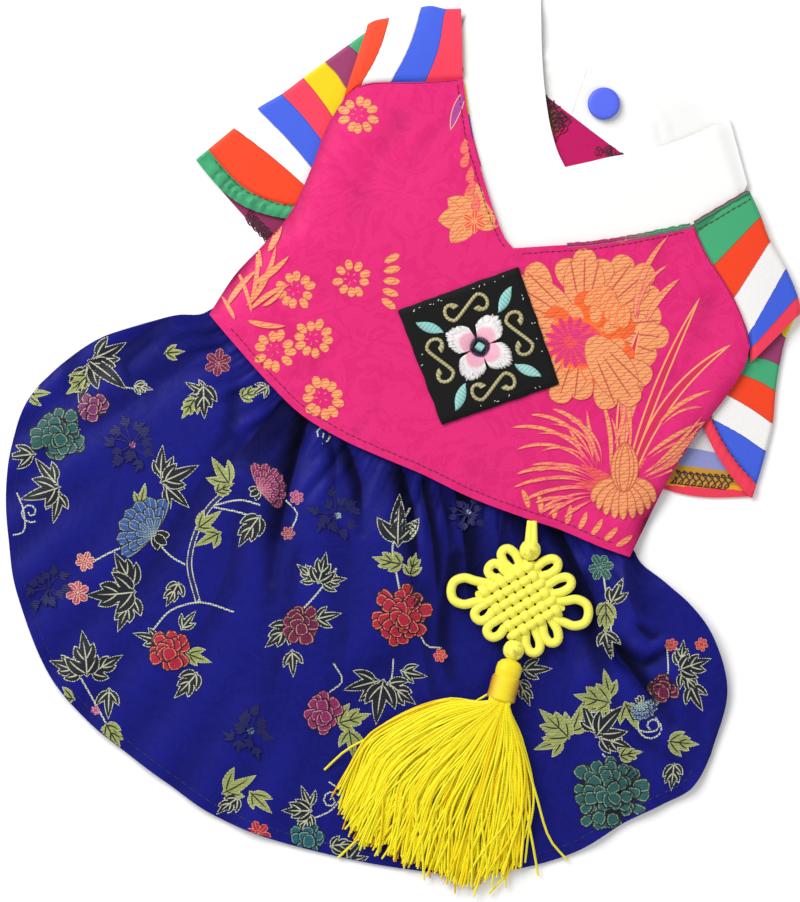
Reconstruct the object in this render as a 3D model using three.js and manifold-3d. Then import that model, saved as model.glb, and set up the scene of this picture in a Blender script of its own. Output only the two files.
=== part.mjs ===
// A small dog's hanbok: a brocade bodice with raglan rainbow-striped sleeves, a white collar band, a
// gathered skirt, an embroidered patch and a knotted, tasselled pendant. It lies flat with its back up.
// Millimetres, +Z up. +Y runs from the hem to the neck along the back, +X to the wearer's right.
// The origin is on the surface it lies on, under the middle of the garment's outline.
import * as THREE from 'three';
import { mergeVertices } from 'three/addons/utils/BufferGeometryUtils.js';
import Module from 'manifold-3d';

const wasm = await Module();
wasm.setup();

// ---------------------------------------------------------------- driving sizes
const CLOTH = 1.2; // wall of every cloth panel
const SEAM_GAP = 0.35; // space kept between two pieces that are sewn together
const ON_FLOOR = CLOTH / 2; // middle of a panel that lies on the surface
const SECOND_LAYER = ON_FLOOR + CLOTH + 0.3; // middle of a panel that lies on such a panel
const COLLAR_HEIGHT = 3.6; // middle of the collar band on the back
const BACK_HEIGHT = 5.5; // middle of the back panel
const BACK_EDGE_HEIGHT = 5.1; // the same at its waist and neck
const SIDE_ROLL = 9; // width over which the back panel turns down to its side folds
const PATCH_WALL = 1;
const SKIRT_TUCK = 3; // how far the skirt's gathered edge runs up under the back panel
const GATHERS = 30;
const HEM_WAVES = 9;
const SNAP_RADIUS = 6.2;
const CORD = 3.6; // diameter of the pendant's cord

// ---------------------------------------------------------------- tables
/** Names the columns of a table and gives one object for each row. */
function table(names, values) {
  const keys = names.split(' ');
  return values.map((row) => Object.fromEntries(keys.map((key, column) => [key, row[column]])));
}

const WAIST = table('x y', [
  [-97, -2], [-83, -7], [-65, -13], [-51, -16.5], [-34, -17], [-18.5, -15.5], [-3, -13.5], [17, -12],
  [38, -8.5], [50, -6], [66, -4], [77, -2],
]);
const BACK_LEFT_SIDE = table('x y edge', [
  [-97, -2, 4.3], [-96, 15, 2.2], [-92.5, 30, 3.9], [-90, 44, 4],
  [-91.5, 62, 4], [-94, 78, 4], [-93.5, 90, 4.4], [-92, 95, 4.9],
]);
const BACK_RIGHT_SIDE = table('x y edge', [
  [77, -2, 4.3], [76, 12, 2.2], [75.2, 24, 3.9], [75.2, 38, 4], [76, 51, 4], [78, 64, 4], [78.5, 78, 4.4],
  [76.5, 85, 4.9],
]);
const LEFT_SEAM = table('x y', [[-92, 95], [-88, 99], [-73, 108], [-60.5, 116.5]]);
const LEFT_NECKLINE = table('x y', [
  [-60.5, 116.5], [-55, 109.5], [-48, 101], [-39.5, 92.5], [-31, 84.5], [-23.5, 78], [-18.5, 74.5], [-14.5, 73],
]);
const RIGHT_NECKLINE = table('x y', [[-14.5, 73], [-2.5, 81], [8, 88], [20, 97.5], [28.5, 105], [37, 112.5]]);
const RIGHT_SEAM = table('x y', [[37, 112.5], [47, 105.5], [56, 101], [64.5, 96], [72, 90], [76.5, 85]]);

// Soft folds of the back panel: depth is negative for a trough, positive for a ridge.
const BACK_FOLDS = table('x1 y1 x2 y2 x3 y3 depth width', [
  [-72, 92, -74, 76, -70, 56, -0.5, 5],
  [56, 90, 60, 74, 58, 56, -0.5, 5],
  [-88, 16, -66, 6, -40, -6, -0.45, 5],
  [70, 22, 52, 12, 34, 4, -0.45, 5],
  [-80, 40, -62, 46, -44, 44, 0.4, 6],
  [64, 44, 50, 50, 36, 50, 0.4, 6],
]);

// Sleeve sections from the neck to the cuff: the fold along the outer edge, then where the layer on the
// floor ends and where the layer above it ends. bow is how far the section dips between its two ends.
const LEFT_SLEEVE = table('foldX foldY underX underY overX overY bow', [
  [-75, 134, -67, 129, -71, 131, 0],
  [-84, 130, -66, 120, -78, 125, 0],
  [-92, 121.5, -67.5, 110, -84, 115, 0],
  [-97.2, 115, -69.5, 100, -84, 104, 0],
  [-101, 107, -72, 90, -80, 93, 0],
  [-105, 98, -74.5, 80, -80.5, 85, 0],
  [-109, 89, -77, 70, -81, 77, 0],
  [-113, 79.5, -79.5, 60, -82, 69, 0.5],
  [-118, 70.5, -82, 51, -83, 62, 1.5],
  [-121.5, 61, -84, 43, -84.5, 56, 2.5],
  [-125.2, 51, -85.5, 36, -85.5, 50.5, 3.5],
  [-128, 43.5, -86.5, 30, -86.5, 46.5, 4.5],
]);
const RIGHT_SLEEVE = table('foldX foldY underX underY overX overY bow', [
  [50.5, 129.5, 44.5, 126, 47, 127.5, 0],
  [59, 122.5, 46, 117, 54.5, 119, 0],
  [68.5, 116, 50, 109, 62, 110.5, 0],
  [79, 109, 55, 100, 68, 100.5, 0],
  [84, 103.5, 59, 91, 69, 92, 0],
  [85.3, 94, 62, 82, 69.5, 87, 0],
  [88, 85, 64.5, 73, 70, 82, 0],
  [91.7, 75.5, 66.5, 64, 70.2, 76, 0.5],
  [96.6, 65, 68.5, 55, 70.4, 70, 1.5],
  [99.4, 55.5, 70, 45, 70.6, 64.5, 2.5],
  [101.7, 46.5, 70.4, 34, 70.8, 60, 2.5],
  [103.6, 38.5, 70.8, 24.5, 71, 56.5, 2.5],
]);

// Sleeve cap sections from the neckline to the ridge where the cap folds over the arm: the end at the back
// panel's seam, the end at the shoulder fold, and the cap's height at both.
const LEFT_CAP = table('seamX seamY foldX foldY seamZ foldZ', [
  [-60.5, 116.5, -73.5, 138, 5.1, 4.9],
  [-67, 112.3, -78.5, 135, 5.2, 5],
  [-74.5, 107.6, -84, 133, 5.4, 5],
  [-82, 103.2, -89, 128, 5.4, 4.7],
  [-88.5, 98.8, -94, 122.5, 5.2, 4.4],
  [-92.2, 95, -98, 119, 4.9, 4.2],
  [-94.2, 88, -99.6, 116.5, 4.1, 4],
]);
const RIGHT_CAP = table('seamX seamY foldX foldY seamZ foldZ', [
  [37, 112.5, 48.5, 133, 5.1, 4.9],
  [43.5, 108, 55.5, 128, 5.2, 5],
  [50.5, 103.8, 63.5, 121.5, 5.4, 5],
  [58, 99.8, 73, 116, 5.4, 4.7],
  [66.6, 95.2, 80, 111, 5.2, 4.4],
  [74.2, 89.4, 84.4, 107, 4.9, 4.2],
  [80.4, 80.8, 86.2, 104, 4.1, 4],
]);

// The collar band: its edge sewn under the neckline and its free edge, from the shoulder to the centre back.
const LEFT_COLLAR = table('sewnX sewnY freeX freeY', [
  [-71.5, 140, -51.5, 157],
  [-69.5, 131, -47, 149.5],
  [-64.5, 119, -42.5, 142],
  [-58, 106.5, -38, 135],
  [-50.5, 98, -33.5, 128.5],
  [-42, 89.5, -28.5, 122],
  [-33.8, 81.8, -24, 116.8],
  [-26, 75, -18.5, 111.5],
  [-14.6, 69, -13.7, 107.3],
]);
const RIGHT_COLLAR = table('sewnX sewnY freeX freeY', [
  [46.8, 135.2, 29.1, 152.7],
  [46.8, 128.5, 25.5, 147],
  [45.5, 119.5, 20.6, 140],
  [39.5, 109.5, 15.5, 134],
  [31, 101.5, 10.5, 128.7],
  [22.5, 94.5, 5, 123.7],
  [10.5, 85, -1, 118.7],
  [0, 77.5, -6.5, 113.5],
  [-14.2, 69, -13.3, 107.3],
]);
// The same band on the belly side, under the neck, from the left to the right. The right one laps the left.
const BELLY_COLLAR_LEFT = table('sewnX sewnY freeX freeY', [
  [-71, 137.6, -51.5, 157],
  [-52.5, 131, -38, 156],
  [-31.8, 126.8, -24, 154.5],
  [-14.5, 124.4, -10, 152.3],
  [4, 122.2, 5, 150.3],
]);
const BELLY_COLLAR_RIGHT = table('sewnX sewnY freeX freeY', [
  [-20.2, 125, -22.5, 153.6],
  [-8, 123.4, -9, 152.2],
  [4, 122.2, 5, 150.4],
  [15, 122.4, 13, 150.3],
  [29.3, 125.8, 22, 151],
  [46, 132.5, 29.1, 152.7],
]);
const BELLY_LEFT_SIDE = table('x y', [
  [-93, 1], [-91, 22], [-85.2, 30], [-83, 43], [-78.5, 60], [-73.5, 80], [-68.5, 100], [-64, 134],
]);
const BELLY_RIGHT_SIDE = table('x y', [
  [73.5, 1.5], [72.5, 21.5], [69.4, 27], [68.5, 45], [65, 64], [60.5, 82], [53.5, 98.5], [47.5, 109],
  [43.4, 118], [41, 130],
]);
const PLACKET = { leftPanelX: 4, rightPanelX: -20, dropX: 26 }; // where the two belly panels overlap

const SKIRT_LEFT_SIDE = table('x y', [
  [-97, 1], [-100, -3.5], [-107, -8], [-117, -18], [-126, -28], [-133, -41], [-137.5, -54.5],
]);
const SKIRT_HEM = table('x y', [
  [-137.5, -54.5], [-138, -66], [-134.5, -80], [-129, -93], [-121, -105.5], [-110, -120], [-96.5, -132.5],
  [-82, -143], [-63.5, -150], [-42.5, -153.5], [-25, -155.5], [-7.5, -157], [12, -155], [37.5, -148.5],
  [62, -140], [84.5, -129.5], [102, -116], [114.5, -102], [122.5, -87], [131.5, -73.5], [138, -63], [138, -49],
]);
const SKIRT_RIGHT_SIDE = table('x y', [
  [77, 1], [82, -2], [92.5, -3.5], [105, -6], [117, -11.5], [131.5, -26], [138, -49],
]);

// Long folds of the skirt, from the waist outwards: depth is negative for a trough, positive for a ridge.
const SKIRT_FOLDS = table('x1 y1 x2 y2 x3 y3 depth width', [
  [-112, -14, -118, -28, -124, -48, -2.2, 4],
  [-90, -10, -104, -40, -121, -72, -2.2, 6],
  [-72, -14, -86, -50, -104, -96, 2, 8],
  [-58, -18, -60, -50, -72, -108, -4.6, 8],
  [-44, -21, -37, -48, -18, -92, -3.8, 6],
  [-50, -20, -48, -52, -44, -104, 2, 8],
  [-29, -20, -14, -37, -11, -56, -2.6, 5],
  [-5, -18, 8, -50, 13, -84, -3.4, 6],
  [-22, -20, -22, -60, -40, -118, 1.6, 10],
  [4, -18, 21, -46, 40, -72, -2.4, 5],
  [62, -8, 78, -24, 97, -42, -4.4, 6],
  [86, -10, 100, -24, 112, -36, 2.2, 7],
  [90, -32, 106, -36, 128, -37, -2.6, 4.5],
  [92, -52, 108, -66, 122, -78, -2, 7],
]);
// Places where the pendant weighs the skirt down, and the height of the cloth there.
const PRESSED = table('x y radius height', [
  [50, -34, 38, 2.2],
  [60, -62, 26, 1.8],
  [60, -92, 50, 1.3],
  [64, -118, 60, 1],
]);

const PATCH = { left: [-39, 33], top: [-9.5, 68], right: [24, 39], bottom: [-5, 5.5] };
const SNAP = { x: -12.3, y: 134.3, height: 2.4 };

// The pendant: the weave's four corners, then each cord loop from its root round its tip.
const WEAVE = { top: [46.5, -21], right: [66, -31], bottom: [56, -48.5], left: [35.5, -39.5], waves: 5 };
const WEAVE_UNDERSIDE = 3.3;
const WEAVE_THICKNESS = 4.6;
const LOOPS = table('x y tipX tipY width', [
  [36.5, -39.6, 27.6, -44.4, 9.5],
  [65, -31.2, 74.4, -27, 9.5],
  [44, -25.6, 36.6, -22.3, 5],
  [41, -30.6, 35.2, -29.9, 5],
  [51, -23.6, 55.4, -16.4, 5],
  [57.6, -27, 63, -19.8, 5],
  [42.6, -42.4, 40.3, -48.4, 5],
  [49.2, -45.2, 47.2, -51.4, 5],
  [59.4, -42.8, 64.8, -48.6, 5],
  [62.8, -36.8, 69, -42, 5],
]);
const STRAP = table('x y z', [[40.4, -8.8, 6], [41.8, -11.2, 6.1], [43, -13.6, 6.2]]);
const BUTTONS = table('name x y z', [
  ['norigae_button_upper', 44.8, -17.6, 6.6],
  ['norigae_button_lower', 57.6, -51.6, 6.6],
]);
const HEAD = { x1: 58.8, y1: -55.6, x2: 62.2, y2: -68.8, z: 7.3, width: 10.4, height: 7.6 };
// Tassel strands by their place across the tassel: two points on the way and the tip.
const TASSEL = table('across x1 y1 x2 y2 x3 y3', [
  [0, 45, -80, 30, -103, 31, -127],
  [0.2, 50, -84, 38, -108, 41, -137],
  [0.4, 56, -87, 49, -112, 55, -137.5],
  [0.6, 63, -87, 62, -112, 70, -135],
  [0.8, 70, -83, 76, -105, 85, -133.5],
  [1, 76, -78, 90, -97, 97.5, -118],
]);
const STRANDS_A_LAYER = 24;
const STRAND_LAYERS = 4;

// ---------------------------------------------------------------- numbers and curves
const { lerp, smoothstep } = THREE.MathUtils;

function curve(rows) {
  const points = rows.map(({ x, y, z = 0 }) => new THREE.Vector3(x, y, z));
  return new THREE.CatmullRomCurve3(points, false, 'centripetal');
}

/** Evenly spaced points from one share of a curve's length to another, both included. */
function spaced(path, count, from = 0, to = 1) {
  return Array.from({ length: count + 1 }, (_, i) => path.getPointAt(lerp(from, to, i / count)));
}

/** Value of one column of a table where another column has a given value. */
function lookUp(rows, key, at, column) {
  const last = rows.length - 1;
  if (at <= rows[0][key]) return rows[0][column];
  if (at >= rows[last][key]) return rows[last][column];
  const next = rows.findIndex((row) => row[key] > at);
  const share = (at - rows[next - 1][key]) / (rows[next][key] - rows[next - 1][key]);
  return lerp(rows[next - 1][column], rows[next][column], share);
}

/** Distance from a point to a fold's line, and how far along the fold that is, from 0 to 1. */
function nearFold(x, y, fold) {
  const corners = [[fold.x1, fold.y1], [fold.x2, fold.y2], [fold.x3, fold.y3]];
  let best = { distance: Infinity, along: 0 };
  for (let part = 0; part < 2; part += 1) {
    const [[ax, ay], [bx, by]] = [corners[part], corners[part + 1]];
    const length = Math.hypot(bx - ax, by - ay);
    const share = THREE.MathUtils.clamp(((x - ax) * (bx - ax) + (y - ay) * (by - ay)) / length ** 2, 0, 1);
    const distance = Math.hypot(x - lerp(ax, bx, share), y - lerp(ay, by, share));
    if (distance < best.distance) best = { distance, along: (part + share) / 2 };
  }
  return best;
}

/** Sum of a table's folds at a point; each is deepest where it starts. */
function foldDepth(x, y, folds) {
  return folds.reduce((sum, fold) => {
    const { distance, along } = nearFold(x, y, fold);
    return sum + fold.depth * Math.exp(-((distance / fold.width) ** 2)) * (1 - 0.6 * along);
  }, 0);
}

// ---------------------------------------------------------------- solids from grids of points
/** Closed body between two grids of the same size; upper lies on the side the grid's normal points to. */
function body(upper, lower) {
  const [m, n] = [upper.length, upper[0].length];
  const positions = [...upper.flat(), ...lower.flat()].flatMap((p) => [p.x, p.y, p.z]);
  const at = (side, i, j) => side * m * n + i * n + j;
  const faces = [];
  const quad = (a, b, c, d) => faces.push(a, b, c, a, c, d);
  for (let i = 0; i < m - 1; i += 1) {
    for (let j = 0; j < n - 1; j += 1) {
      quad(at(0, i, j), at(0, i + 1, j), at(0, i + 1, j + 1), at(0, i, j + 1));
      quad(at(1, i, j), at(1, i, j + 1), at(1, i + 1, j + 1), at(1, i + 1, j));
    }
    quad(at(1, i, 0), at(1, i + 1, 0), at(0, i + 1, 0), at(0, i, 0));
    quad(at(0, i, n - 1), at(0, i + 1, n - 1), at(1, i + 1, n - 1), at(1, i, n - 1));
  }
  for (let j = 0; j < n - 1; j += 1) {
    quad(at(0, 0, j), at(0, 0, j + 1), at(1, 0, j + 1), at(1, 0, j));
    quad(at(1, m - 1, j), at(1, m - 1, j + 1), at(0, m - 1, j + 1), at(0, m - 1, j));
  }
  const geometry = new THREE.BufferGeometry();
  geometry.setAttribute('position', new THREE.Float32BufferAttribute(positions, 3));
  geometry.setIndex(faces);
  geometry.computeVertexNormals();
  return geometry;
}

/** Cloth wall whose middle runs through a grid of points. */
function cloth(grid, wall = CLOTH) {
  const [m, n] = [grid.length, grid[0].length];
  const normal = (i, j) => {
    const down = grid[Math.min(i + 1, m - 1)][j].clone().sub(grid[Math.max(i - 1, 0)][j]);
    const across = grid[i][Math.min(j + 1, n - 1)].clone().sub(grid[i][Math.max(j - 1, 0)]);
    return down.cross(across).normalize().multiplyScalar(wall / 2);
  };
  const move = (way) => grid.map((row, i) => row.map((p, j) => p.clone().addScaledVector(normal(i, j), way)));
  return body(move(1), move(-1));
}

/** Grid inside four edges: two along the rows' ends and two along the columns' ends. */
function fill(bottom, top, left, right) {
  const [n, m] = [bottom.length - 1, left.length - 1];
  return left.map((_, i) => bottom.map((__, j) => {
    const [v, u] = [i / m, j / n];
    const blend = (key) => lerp(bottom[j][key], top[j][key], v) + lerp(left[i][key], right[i][key], u)
      - lerp(lerp(bottom[0][key], bottom[n][key], u), lerp(top[0][key], top[n][key], u), v);
    return new THREE.Vector3(blend('x'), blend('y'), 0);
  }));
}

function lift(grid, height) {
  return grid.map((row, i) => row.map((p, j) => new THREE.Vector3(p.x, p.y, height(p.x, p.y, i, j))));
}

/** Joins closed bodies that overlap into one. */
function join(geometries) {
  const solids = geometries.map((geometry) => {
    const bare = geometry.clone();
    bare.deleteAttribute('normal');
    bare.deleteAttribute('uv');
    const merged = mergeVertices(bare, 1e-4);
    return new wasm.Manifold(new wasm.Mesh({
      numProp: 3,
      vertProperties: new Float32Array(merged.attributes.position.array),
      triVerts: new Uint32Array(merged.index.array),
    }));
  });
  const mesh = wasm.Manifold.union(solids).getMesh();
  const geometry = new THREE.BufferGeometry();
  geometry.setAttribute('position', new THREE.BufferAttribute(mesh.vertProperties, 3));
  geometry.setIndex(new THREE.BufferAttribute(mesh.triVerts, 1));
  geometry.computeVertexNormals();
  return geometry;
}

/** Rod through a row of points, with a regular section of a few sides whose size may change on the way. */
function rod(points, sides, radius) {
  const path = new THREE.CatmullRomCurve3(points);
  const frames = path.computeFrenetFrames(points.length - 1);
  const rings = points.map((_, i) => {
    const share = i / (points.length - 1);
    const centre = path.getPoint(share);
    return Array.from({ length: sides }, (__, k) => {
      const angle = (k / sides) * 2 * Math.PI;
      return centre.clone()
        .addScaledVector(frames.normals[i], Math.cos(angle) * radius(share))
        .addScaledVector(frames.binormals[i], Math.sin(angle) * radius(share));
    });
  });
  const faces = [];
  for (let i = 0; i < rings.length - 1; i += 1) {
    for (let k = 0; k < sides; k += 1) {
      const [a, b] = [i * sides + k, i * sides + ((k + 1) % sides)];
      faces.push(a, b, b + sides, a, b + sides, a + sides);
    }
  }
  for (let k = 1; k < sides - 1; k += 1) {
    const end = (rings.length - 1) * sides;
    faces.push(0, k + 1, k, end, end + k, end + k + 1);
  }
  const geometry = new THREE.BufferGeometry();
  const positions = rings.flat().flatMap((point) => point.toArray());
  geometry.setAttribute('position', new THREE.Float32BufferAttribute(positions, 3));
  geometry.setIndex(faces);
  geometry.computeVertexNormals();
  return geometry;
}

// ---------------------------------------------------------------- the bodice
/** Height of the middle of the back panel: a low crown that turns down at both side folds. */
function backHeight(x, y) {
  const fromLeft = x - lookUp(BACK_LEFT_SIDE, 'y', y, 'x');
  const fromRight = lookUp(BACK_RIGHT_SIDE, 'y', y, 'x') - x;
  const side = fromLeft < fromRight ? BACK_LEFT_SIDE : BACK_RIGHT_SIDE;
  const edge = lookUp(side, 'y', y, 'edge');
  const rise = Math.sqrt(smoothstep(Math.min(fromLeft, fromRight), 0, SIDE_ROLL));
  const crown = lerp(BACK_EDGE_HEIGHT, BACK_HEIGHT, smoothstep(y, -14, 20) * (1 - smoothstep(y, 60, 110)));
  const inside = smoothstep(Math.min(fromLeft, fromRight), 2, SIDE_ROLL);
  return lerp(edge, crown, rise) + foldDepth(x, y, BACK_FOLDS) * inside;
}

function backPanel() {
  const [seamSteps, neckSteps, rowsUp] = [4, 8, 15];
  const shares = { shoulderLeft: 0.21, centre: 0.47, shoulderRight: 0.77 };
  const chain = (parts) => parts.flatMap((points, i) => (i === 0 ? points : points.slice(1)));
  const waist = curve(WAIST);
  const bottom = chain([
    spaced(waist, seamSteps, 0, shares.shoulderLeft),
    spaced(waist, neckSteps, shares.shoulderLeft, shares.centre),
    spaced(waist, neckSteps, shares.centre, shares.shoulderRight),
    spaced(waist, seamSteps, shares.shoulderRight, 1),
  ]);
  const top = chain([
    spaced(curve(LEFT_SEAM), seamSteps),
    spaced(curve(LEFT_NECKLINE), neckSteps),
    spaced(curve(RIGHT_NECKLINE), neckSteps),
    spaced(curve(RIGHT_SEAM), seamSteps),
  ]);
  const sides = [BACK_LEFT_SIDE, BACK_RIGHT_SIDE].map((side) => spaced(curve(side), rowsUp));
  return cloth(lift(fill(bottom, top, ...sides), backHeight));
}

/** Height of the right belly panel and collar, which climb over the left ones where they overlap. */
function overlapHeight(x) {
  return lerp(SECOND_LAYER, ON_FLOOR, smoothstep(x, PLACKET.leftPanelX + 2, PLACKET.dropX));
}

/** Belly panel between its side seam and the placket, from just above the skirt to just below the collar. */
function bellyPanel(side, placketX, collar, height) {
  const [steps, rowsUp] = [7, 9];
  const [first, last] = [side[0], side.at(-1)];
  const grid = spaced(curve(side), rowsUp).map((outer) => Array.from({ length: steps + 1 }, (_, j) => {
    const x = lerp(outer.x, placketX, j / steps);
    const low = lookUp(WAIST, 'x', x, 'y') + SKIRT_TUCK + 1.2;
    const high = lookUp(collar, 'sewnX', x, 'sewnY') - 1;
    return new THREE.Vector3(x, lerp(low, high, (outer.y - first.y) / (last.y - first.y)), 0);
  }));
  return cloth(lift(grid, height));
}

function leftBelly() {
  return bellyPanel(BELLY_LEFT_SIDE, PLACKET.leftPanelX, BELLY_COLLAR_LEFT, () => ON_FLOOR);
}

function rightBelly() {
  return bellyPanel(BELLY_RIGHT_SIDE, PLACKET.rightPanelX, BELLY_COLLAR_RIGHT, overlapHeight);
}

/** Collar band: each row of its table is one section from the sewn edge to the free edge. */
function collarBand(rows, height) {
  const across = [0, 0.33, 0.67, 1];
  const grid = rows.map((row, i) => across.map((share) => {
    const [x, y] = [lerp(row.sewnX, row.freeX, share), lerp(row.sewnY, row.freeY, share)];
    return new THREE.Vector3(x, y, height(x, y, i));
  }));
  return cloth(grid);
}

/** The collar on the back, which turns down at the shoulder to meet the belly side. */
function backCollarHeight(x, y, section) {
  return section === 0 ? SECOND_LAYER + 0.2 : COLLAR_HEIGHT;
}

// ---------------------------------------------------------------- the sleeves
/** Arm of a sleeve: a layer on the floor, the outer fold, and the layer above it. */
function sleeveArm(rows) {
  const [lower, upper] = [ON_FLOOR, SECOND_LAYER + 0.1];
  const radius = (upper - lower) / 2;
  const steps = [0, 0.25, 0.5, 0.75, 1];
  const turns = [-60, 0, 60];
  const grid = rows.map((row) => {
    const fold = new THREE.Vector2(row.foldX, row.foldY);
    const layer = (endX, endY, z) => steps.map((share) => {
      const dip = row.bow * Math.sin(Math.PI * share);
      return new THREE.Vector3(lerp(endX, fold.x, share), lerp(endY, fold.y, share) - dip, z);
    });
    const under = layer(row.underX, row.underY, lower);
    const over = layer(row.overX, row.overY, upper).reverse();
    const inner = new THREE.Vector2((row.underX + row.overX) / 2, (row.underY + row.overY) / 2);
    const out = fold.clone().sub(inner).normalize();
    const turn = turns.map((degrees) => {
      const angle = THREE.MathUtils.degToRad(degrees);
      const [reach, rise] = [radius * Math.cos(angle), radius * Math.sin(angle)];
      return new THREE.Vector3(fold.x + out.x * reach, fold.y + out.y * reach, lower + radius + rise);
    });
    return [...under, ...turn, ...over];
  });
  return cloth(grid);
}

/** Cap of a sleeve: from the back panel's seam over the shoulder, with its outer edge rolled down. */
function sleeveCap(rows, outward) {
  const rolled = table('reach drop', [[0.9, 0.45], [1.5, 1.9]]);
  const grid = rows.map((row) => {
    const seam = new THREE.Vector3(row.seamX + outward * SEAM_GAP, row.seamY + SEAM_GAP, row.seamZ);
    const fold = new THREE.Vector3(row.foldX, row.foldY, row.foldZ);
    const out = fold.clone().sub(seam).setZ(0).normalize();
    const brink = fold.clone().addScaledVector(out, -1.5);
    const flat = [0, 0.25, 0.5, 0.75, 1].map((share) => {
      const point = seam.clone().lerp(brink, share);
      point.z += 0.5 * Math.sin(Math.PI * share);
      return point;
    });
    const edge = rolled.map(({ reach, drop }) => new THREE.Vector3(
      brink.x + out.x * reach, brink.y + out.y * reach, row.foldZ - drop,
    ));
    return [...flat, ...edge];
  });
  return cloth(grid);
}

// ---------------------------------------------------------------- the skirt
/** Height of the middle of the skirt: long folds over a soft rise that runs out at the hem. */
function skirtHeight(x, y, down, around) {
  const ends = smoothstep(Math.min(around, 1 - around), 0, 0.05);
  const puff = lerp(lerp(1.2, 2.1, ends), 5.4, smoothstep(down, 0.03, 0.24));
  const rise = puff * lerp(1, 0.32, smoothstep(down, 0.3, 1));
  const gather = ends * lerp(0.9, 1.5, smoothstep(down, 0.03, 0.15)) * (1 - smoothstep(down, 0.12, 0.55));
  let height = rise + gather * Math.cos(2 * Math.PI * GATHERS * around + 1.3 * Math.sin(9 * around));
  height += foldDepth(x, y, SKIRT_FOLDS) * smoothstep(down, 0.02, 0.2);
  height += 0.9 * smoothstep(down, 0.5, 1) * Math.sin(2 * Math.PI * HEM_WAVES * around) ** 2;
  for (const place of PRESSED) {
    const inside = 1 - smoothstep(Math.hypot(x - place.x, y - place.y), place.radius * 0.72, place.radius * 1.1);
    height = lerp(height, Math.min(height, place.height), inside);
  }
  return Math.max(ON_FLOOR, height);
}

function skirt() {
  const columns = GATHERS * 4;
  const rowShares = [0, 0.05, 0.12, 0.2, 0.32, 0.46, 0.62, 0.8, 1];
  const tucked = WAIST.map(({ x, y }) => ({ x, y: y + SKIRT_TUCK }));
  const top = spaced(curve(tucked), columns);
  const hem = spaced(curve(SKIRT_HEM), columns);
  const side = (rows) => rowShares.map((share) => curve(rows).getPointAt(share));
  const [left, right] = [side(SKIRT_LEFT_SIDE), side(SKIRT_RIGHT_SIDE)];
  const grid = rowShares.map((v, i) => top.map((p, j) => {
    const u = j / columns;
    const blend = (key) => lerp(p[key], hem[j][key], v) + lerp(left[i][key], right[i][key], u)
      - lerp(lerp(left[0][key], left.at(-1)[key], v), lerp(right[0][key], right.at(-1)[key], v), u);
    return new THREE.Vector3(blend('x'), blend('y'), 0);
  }));
  return cloth(lift(grid, (x, y, i, j) => skirtHeight(x, y, rowShares[i], j / columns)));
}

// ---------------------------------------------------------------- what is sewn on
/** The square patch, made from the back panel's own height, moved out. */
function patch() {
  const steps = 8;
  const corner = (name) => new THREE.Vector3(...PATCH[name], 0);
  const side = (from, to) => spaced(new THREE.LineCurve3(corner(from), corner(to)), steps);
  const grid = fill(side('left', 'bottom'), side('top', 'right'), side('left', 'top'), side('bottom', 'right'));
  const clear = CLOTH / 2 + 0.3 + PATCH_WALL / 2;
  return cloth(lift(grid, (x, y) => backHeight(x, y) + clear), PATCH_WALL);
}

/** Snap cap: a flat rim with a low round boss, on the right belly collar. */
function snapCap() {
  const profile = [[0, 0], [0.97, 0], [1, 0.35], [0.93, 0.62], [0.8, 0.62], [0.66, 0.78], [0.35, 0.95], [0, 1]];
  const points = profile.map(([r, z]) => new THREE.Vector2(r * SNAP_RADIUS, z * SNAP.height));
  const geometry = new THREE.LatheGeometry(points, 20);
  geometry.rotateX(Math.PI / 2);
  geometry.translate(SNAP.x, SNAP.y, SECOND_LAYER + CLOTH / 2 + 0.3);
  return geometry;
}

// ---------------------------------------------------------------- the pendant
/** Flat woven knot: cords crossing over and under, with cord loops standing out from its edges. */
function wovenKnot() {
  const steps = WEAVE.waves * 3;
  const corner = (name) => new THREE.Vector3(...WEAVE[name], 0);
  const side = (from, to) => spaced(new THREE.LineCurve3(corner(from), corner(to)), steps);
  const grid = fill(side('left', 'bottom'), side('top', 'right'), side('left', 'top'), side('bottom', 'right'));
  const bump = (i, j) => {
    const wave = (k) => Math.abs(Math.sin((k / steps) * Math.PI * WEAVE.waves));
    const rim = Math.min(i, j, steps - i, steps - j) === 0 ? 0.45 : 1;
    return WEAVE_THICKNESS * rim * (0.72 + 0.14 * (wave(i) + wave(j)));
  };
  const upper = lift(grid, (x, y, i, j) => WEAVE_UNDERSIDE + bump(i, j));
  const lower = lift(grid, () => WEAVE_UNDERSIDE);
  const weave = upperFacesUp(grid) ? body(upper, lower) : body(lower, upper);
  return join([weave, ...LOOPS.map(cordLoop)]);
}

/** Whether a flat grid's normal points up. */
function upperFacesUp(grid) {
  const down = grid[1][0].clone().sub(grid[0][0]);
  const across = grid[0][1].clone().sub(grid[0][0]);
  return down.cross(across).z > 0;
}

/** Loop of cord from the weave's edge out to its tip and back, given as shares of its reach and width. */
function cordLoop({ x, y, tipX, tipY, width }) {
  const shape = table('side far', [
    [-0.3, -0.25], [-0.4, 0.15], [-0.5, 0.55], [-0.32, 0.9], [0, 1],
    [0.32, 0.9], [0.5, 0.55], [0.4, 0.15], [0.3, -0.25],
  ]);
  const reach = new THREE.Vector2(tipX - x, tipY - y);
  const across = new THREE.Vector2(-reach.y, reach.x).normalize().multiplyScalar(width);
  const z = WEAVE_UNDERSIDE + CORD / 2 - 0.2;
  const points = shape.map(({ side, far }) => new THREE.Vector3(
    x + across.x * side + reach.x * far,
    y + across.y * side + reach.y * far,
    z,
  ));
  return rod(points, 6, () => (CORD / 2) * 0.85);
}

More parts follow.
